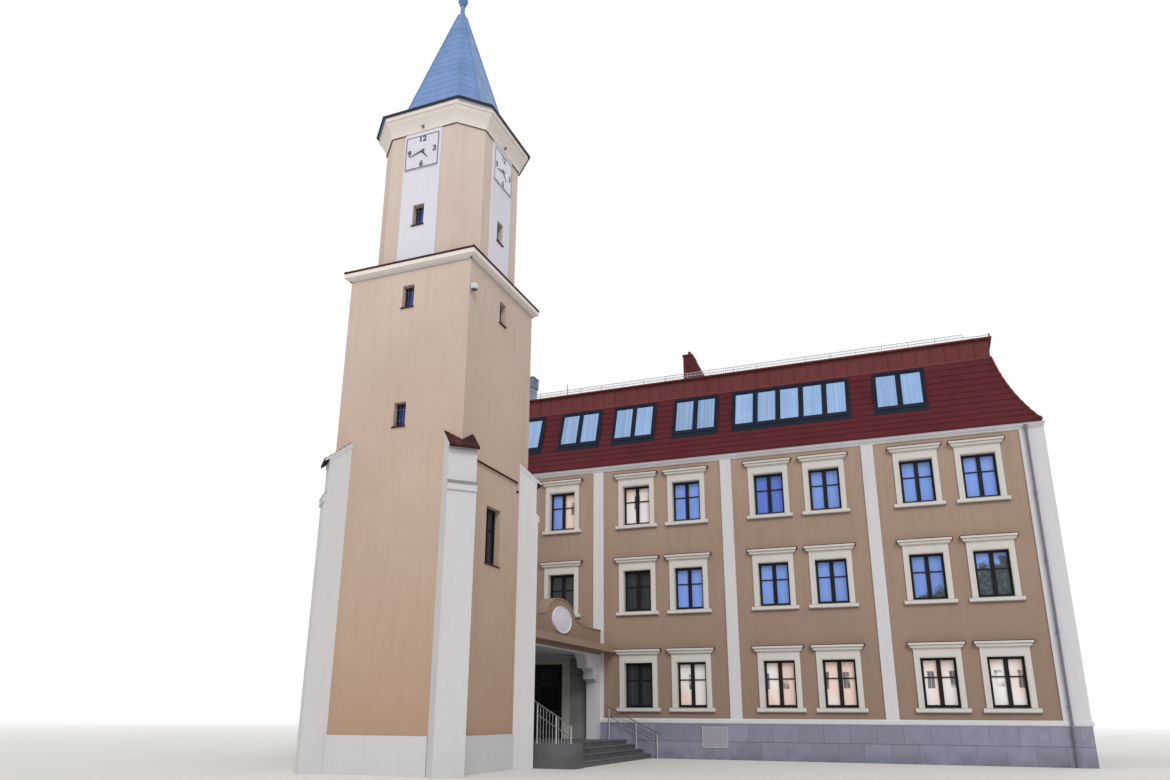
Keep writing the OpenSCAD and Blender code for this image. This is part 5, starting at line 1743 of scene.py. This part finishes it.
@dataclass
class Porch:
    """Coping, shield and ceiling of the porch, and the finishes of its walls."""

    tower_gap: float = 8.25
    soffit: float = 3.87
    shoulder: float = 0.975
    thick: float = 0.43
    shield: Pair = (0.83, 0.475)
    pier: float = 0.43
    door_half: float = 1.37
    slab_foot: float = 0.66
    slab_rows: int = 5
    slab_seed: int = 23
    slab_joint: float = 0.006
    bands: tuple[Pair, ...] = ((1.07, 0.018), (0.945, 0.363), (0.875, 0.363), (0.81, 0.363), (0.563, 0.995))
    rim: tuple[Pair, ...] = (
        (1.03, 0.0), (1.03, 0.055), (1.0, 0.075), (0.95, 0.075), (0.92, 0.055), (0.7, 0.066), (0.4, 0.076),
        (0.12, 0.08))
    half_line: tuple[Pair, ...] = (
        (0.0, 1.74), (0.3, 1.728), (0.56, 1.69), (0.8, 1.61), (1.0, 1.49), (1.18, 1.34), (1.32, 1.165),
        (1.48, 1.1), (1.7, 1.07), (1.8, 1.055), (2.08, 1.035), (2.1, 0.955), (2.2, 0.97))
    far: float = field(init=False)
    face: float = field(init=False)
    middle: float = field(init=False)

    def __post_init__(self) -> None:
        """Read where its closed walls and its gable stand from the frame."""
        self.far = low("porch_closed_walls").x - ORIGIN.x
        self.face = high("porch_gable").x - ORIGIN.x - GABLE_LIP
        self.middle = -self.tower_gap / 2

    def cladding(self) -> None:
        """Grey slabs on the front wall on both sides of the door."""
        bench, draw = Bench(), random.Random(self.slab_seed)
        centre = (self.face + self.far) / 2
        step = (self.soffit - 0.12 - self.slab_foot) / self.slab_rows
        spans = mirrored(self.door_half + 0.002, self.face - self.thick - centre)
        for (start, end), row in itertools.product(spans, range(self.slab_rows)):
            x0, x1, z = centre + start, centre + end, self.slab_foot + row * step
            split = x0 + (x1 - x0) * (0.42 if row % 2 else 0.64)
            for a, b in ((x0, split - self.slab_joint / 2), (split + self.slab_joint / 2, x1)):
                bench.box((a, -0.01, z), (b, 0.002, z + step - self.slab_joint), tone=draw.random())
        bench.piece("porch_cladding", WALL_SLAB)

    def coping(self) -> None:
        """Thin moulded strip that follows the top of the gable."""
        half = [Vector((0, y, z)) for y, z in self.half_line[1:]]
        line = [Vector((0, -3.9, self.shoulder)), *(Vector((0, -p.y, p.z)) for p in reversed(half)),
                Vector((0, *self.half_line[0])), *half, Vector((0, 4.06, self.shoulder))]
        x0, x1 = self.face - self.thick - 0.025, self.face + 0.03
        rings = []
        for i, point in enumerate(line):
            along = (line[min(i + 1, len(line) - 1)] - line[max(i - 1, 0)]).normalized()
            out = Vector((0, -along.z, along.y))
            base = point + Vector((0, self.middle, self.soffit))
            rings.append([Vector((x, 0, 0)) + base + out * up
                          for x, up in ((x0, -0.02), (x1, -0.02), (x1, 0.03), (x0, 0.03))])
        bench = Bench()
        bench.skin(rings)
        bench.piece("gable_coping", OCHRE, soft=0.006)

    def ribs(self) -> None:
        """Moulded bands across both stepped brackets under the gable, and a plain cap on each pier."""
        bench = Bench()
        back, front = self.face - self.thick - 0.016, self.face + 0.016
        for level, deep in self.bands:
            z, reach = self.soffit - level, self.pier + deep
            for a, b in ((-0.06 - reach, -0.06), (-self.tower_gap, reach - self.tower_gap)):
                bench.box((back, a, z), (front, b, z + 0.03))
                bench.box((back + 0.006, a + 0.004, z + 0.03), (front - 0.006, b - 0.004, z + 0.045))
        bench.piece("bracket_bands", PALE, soft=0.004)

    def oval(self) -> None:
        """Bare oval shield with a raised rim."""
        (a, b), level = self.shield, self.soffit + self.shoulder + 0.015
        bench = Bench()
        bench.skin([[Vector((self.face + out, self.middle + a * size * c, level + b * size * s))
                     for c, s in circle(64)] for size, out in self.rim])
        bench.piece("oval_shield", STRIP_PALE, smooth=40)

    def ceiling(self) -> None:
        """Plastered ceiling with a shallow beam along each side."""
        bench = Bench()
        x0, x1, y0, z = self.far + self.thick, self.face - self.thick, 1.0 - self.tower_gap, self.soffit
        bench.box((x0, y0, z - 0.02), (x1, -0.07, z + 0.001))
        for y in (y0, -0.35):
            bench.box((x0, y, z - 0.12), (x1, y + 0.28, z - 0.015))
        bench.box((x1 - 0.12, y0, z - 0.05), (self.face - 0.02, -0.07, z + 0.002))
        bench.piece("porch_ceiling", PALE, soft=0.004)

    def build(self) -> None:
        """Dress the porch and add the fine pieces."""
        dress(OCHRE, "porch_gable", "porch_closed_walls", "porch_canopy")
        dress(PALE, "porch_piers")
        self.cladding()
        self.coping()
        self.ribs()
        self.oval()
        self.ceiling()


@dataclass
class Entrance:
    """Steps, railings, door trim, notice board and pipes."""

    block: Block
    porch: Porch
    floor: float = 0.66
    landing: float = 1.075
    tread: float = 0.33
    risers: int = 4
    flank_top: float = 0.72
    flank_y: Pair = (0.25, 0.6)
    rail_h: float = 1.2
    rail_d: float = 0.042
    rail_bars: int = 11
    near: Triple = (0.2, 0.06, 0.58)
    far: Triple = (0.62, -0.33, 0.47)
    pipe_out: float = 0.1675
    pipe_r: float = 0.0425
    pipe_share: float = 0.7
    pipe_back: float = 0.027
    sockets: tuple[float, ...] = (0.9, 1.85, 4.3, 6.7, 9.1)
    inlet: tuple[Pair, ...] = ((-0.26, 0.004), (-0.14, 0.026), (-0.01, 0.026))
    post_share: float = 0.567
    sleeve: float = 0.002
    flange: Pair = (0.011, 0.05)
    nose_out: float = 0.022
    door_rim: Triple = (0.02, 0.035, 0.018)
    door_rail: float = 0.42

    def railings(self) -> None:
        """Pale sleeves on the posts, and close upright bars on the stair's side wall."""
        bars, sleeves = Bench(), Bench()
        stair = self.porch.face + self.landing
        end = stair + (self.risers - 1) * self.tread
        lines = ((self.near, self.flank_top, 0.31 - self.porch.tower_gap, False), (self.far, self.floor, -0.3, True))
        for (back, short, fall), level, y, stepped in lines:
            a, b = stair - back, end - short
            rail = level + self.rail_h - self.rail_d
            for x in (a, a + (b - a) * self.post_share, b):
                steps = max(0, math.ceil((x - stair) / self.tread)) if stepped else 0
                foot = max(0.0, level - steps * self.floor / self.risers) + 0.001
                top = rail - (x - a) * fall
                tall, wide = self.flange
                for up, radius in ((top - foot, self.rail_d / 2 + self.sleeve), (tall, wide)):
                    sleeves.turned((x, y, foot), ((0, radius), (up, radius)), 14)
            for x in [] if stepped else between(a, b, self.rail_bars):
                bars.box((x - 0.006, y - 0.006, level + 0.001), (x + 0.006, y + 0.006, rail - (x - a) * fall))
        bars.piece("railing_bars", STEEL)
        sleeves.piece("railing_posts", STEEL, smooth=50)

    def nosings(self) -> None:
        """Rounded front edges on the treads."""
        bench = Bench()
        y0, y1 = sum(self.flank_y) + 0.005 - self.porch.tower_gap, -self.block.plinth_out - 0.005
        for i in range(self.risers):
            x = self.porch.face + self.landing + i * self.tread
            z = self.floor * (1 - i / self.risers)
            bench.box((x - 0.3, y0, z - 0.035), (x + self.nose_out, y1, z + 0.006))
        bench.piece("step_nosings", CONCRETE, soft=0.008)

    def door_trim(self) -> None:
        """Moulded rims and a middle rail on both door leaves."""
        over, width, proud = self.door_rim
        for name in ("left", "right"):
            a, b = (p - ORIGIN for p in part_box(f"door_glass_{name}"))
            foot = low(f"door_leaf_{name}").z
            bench = Bench()
            face = a.y - proud
            middle = a.z + (b.z - a.z) * self.door_rail
            bench.rim((a.x - over, a.z - over), (b.x + over, b.z + over), width, (face - 0.008, face + 0.012))
            bench.box((a.x, face + 0.002, middle - 0.03), (b.x, face + 0.016, middle + 0.03))
            bench.rim((a.x, foot + 0.07), (b.x, a.z - 0.05), 0.03, (face - 0.007, face + 0.002))
            bench.piece(f"door_trim_{name}", DOOR_STAIN, body=f"door_{name}", soft=0.003)

    def board(self) -> None:
        """Rim round the bare notice board."""
        bench = Bench()
        a, b = (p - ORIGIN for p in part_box("notice_board"))
        bench.rim((a.x - 0.012, a.z - 0.012), (b.x + 0.012, b.z + 0.012), 0.03, (a.y - 0.012, b.y))
        bench.piece("board_rim", STEEL, soft=0.003)

    def collars(self) -> None:
        """Sockets, shoes and inlet heads on the block's downpipes."""
        bench = Bench()
        out, r, top = self.pipe_out, self.pipe_r, high("downpipes").z
        side_x = self.block.corner_w * self.pipe_share
        inlet = [(up, r + more) for up, more in self.inlet]
        for side, deep in ((Side.FRONT, 0.0), (Side.BACK, self.pipe_back)):
            place = self.block.place(side) @ shift(0, deep, 0)
            for x in (side_x, self.block.length - side_x):
                for z in self.sockets:
                    bench.turned((x, -out, z), ((0, r + 0.007), (0.08, r + 0.007)), 16, place)
                    bench.box((x - 0.012, -out, z + 0.02), (x + 0.012, -deep, z + 0.05), place)
                bench.turned((x, -out, top), inlet, 16, place)
        bench.piece("pipe_collars", PIPE, smooth=50)

    def build(self) -> None:
        """Dress the entrance and add the fine pieces."""
        dress(CONCRETE, "entrance_steps", "stair_flank")
        dress(DOOR_STAIN, "entrance_frame", "door_leaf_left", "door_leaf_right")
        dress(DOOR_GLASS, "door_glass_left", "door_glass_right")
        dress(RAIL, "stair_railings")
        dress(PIPE, "downpipes")
        dress(BOARD, "notice_board")
        self.railings()
        self.nosings()
        self.door_trim()
        self.board()
        self.collars()


@dataclass
class Studio:
    """Camera, soft lights, pale floor and white background."""

    spot: Triple = (-4.623, -33.0, 1.536)
    yaw: float = -21.634
    pitch: float = 17.186
    roll: float = 0.289
    focal_px: float = 849.6
    picture: tuple[int, int] = (1170, 780)
    middle_px: Pair = (585.0, 452.9)
    sensor: float = 36.0
    key: float = 1.4
    fill: float = 0.46
    sky: float = 0.58
    floor_half: float = 260.0
    floor_look: str = "DEDCD8"
    fade: Pair = (35.0, 150.0)

    def camera(self) -> None:
        """Camera where the photograph was taken."""
        yaw, pitch, roll = (math.radians(a) for a in (self.yaw, self.pitch, self.roll))
        ahead = Vector((math.sin(yaw) * math.cos(pitch), math.cos(yaw) * math.cos(pitch), math.sin(pitch)))
        level = Vector((math.cos(yaw), -math.sin(yaw), 0))
        over = level.cross(ahead)
        right = level * math.cos(roll) + over * math.sin(roll)
        up = over * math.cos(roll) - level * math.sin(roll)
        wide, tall = self.picture
        lens = bpy.data.cameras.new("Camera")
        lens.sensor_width, lens.lens, lens.clip_end = self.sensor, self.sensor * self.focal_px / wide, 1000
        lens.shift_x, lens.shift_y = (wide / 2 - self.middle_px[0]) / wide, (self.middle_px[1] - tall / 2) / wide
        made = bpy.data.objects.new("Camera", lens)
        made.matrix_world = shift(*(Vector(self.spot) + ORIGIN)) @ Matrix((right, up, -ahead)).transposed().to_4x4()
        bpy.context.scene.collection.objects.link(made)
        bpy.context.scene.camera = made

    def lamp(self, name: str, energy: float, spread: float, source: Triple) -> None:
        """Add a broad distant lamp.

        Args:
            name: Its name.
            energy: Its strength.
            spread: Width of the lamp in degrees, which softens the shadows.
            source: Direction from the building to the lamp.
        """
        light = bpy.data.lights.new(name, "SUN")
        light.energy, light.angle = energy, math.radians(spread)
        made = bpy.data.objects.new(name, light)
        made.rotation_mode = "QUATERNION"
        made.rotation_quaternion = Vector(source).to_track_quat("Z", "Y")
        bpy.context.scene.collection.objects.link(made)

    def world(self) -> None:
        """Even light all round, which the camera and reflections see as white."""
        made = bpy.data.worlds.new("Studio")
        made.use_nodes = True
        s = Tree(made.node_tree)
        rays = s.node("LightPath").node.outputs
        strength: Value = self.sky
        for name in ("Is Camera Ray", "Is Glossy Ray", "Is Transmission Ray"):
            strength = s.math("MAXIMUM", rays[name], strength)
        sky = made.node_tree.nodes["Background"]
        s.feed(sky.inputs["Color"], (1.0, 1.0, 1.0, 1.0))
        s.feed(sky.inputs["Strength"], strength)
        bpy.context.scene.world = made

    def floor(self) -> None:
        """Pale ground that keeps the shadow and fades to white far out."""
        mesh = bpy.data.meshes.new("floor")
        h = self.floor_half
        mesh.from_pydata([(-h, -h, 0), (h, -h, 0), (h, h, 0), (-h, h, 0)], [], [(0, 1, 2, 3)])
        made = bpy.data.objects.new("floor", mesh)
        made.location.z = -0.002
        bpy.context.scene.collection.objects.link(made)
        s = Shader("Pale floor")
        s.close(linear(self.floor_look), 0.9)
        away = s.math("SQRT", s.math("ADD", s.math("MULTIPLY", s.x, s.x), s.math("MULTIPLY", s.y, s.y)))
        share = s.math("MULTIPLY", s.remap(away, *self.fade), s.node("LightPath", output="Is Camera Ray"))
        blend = s.node("MixShader", {0: share, 1: s.surface.outputs[0], 2: s.node("Emission")})
        s.feed(s.tree.nodes["Material Output"].inputs[0], blend)
        mesh.materials.append(s.material)

    def build(self) -> None:
        """Set up the studio."""
        bpy.context.scene.view_settings.view_transform = "Standard"
        self.camera()
        self.lamp("Key", self.key, 30, (0.42, -0.78, 0.62))
        self.lamp("Fill", self.fill, 60, (-0.8, -0.35, 0.5))
        self.lamp("Back", self.fill, 60, (0.3, 0.9, 0.6))
        self.world()
        self.floor()


def main() -> None:
    """Build the studio and every sub-assembly in order."""
    logging.basicConfig(level=logging.INFO, format="%(message)s")
    block = Block()
    mansard = Mansard(block)
    tower = Tower()
    porch = Porch()
    parts: list[Callable[[], None]] = [
        Studio().build, block.build, Windows(block).build, mansard.build, RoofTop(block, mansard).build,
        tower.build, Clock(tower).build, Spire(tower).build, porch.build, Entrance(block, porch).build]
    for build in parts:
        build()


if __name__ == "__main__":
    main()
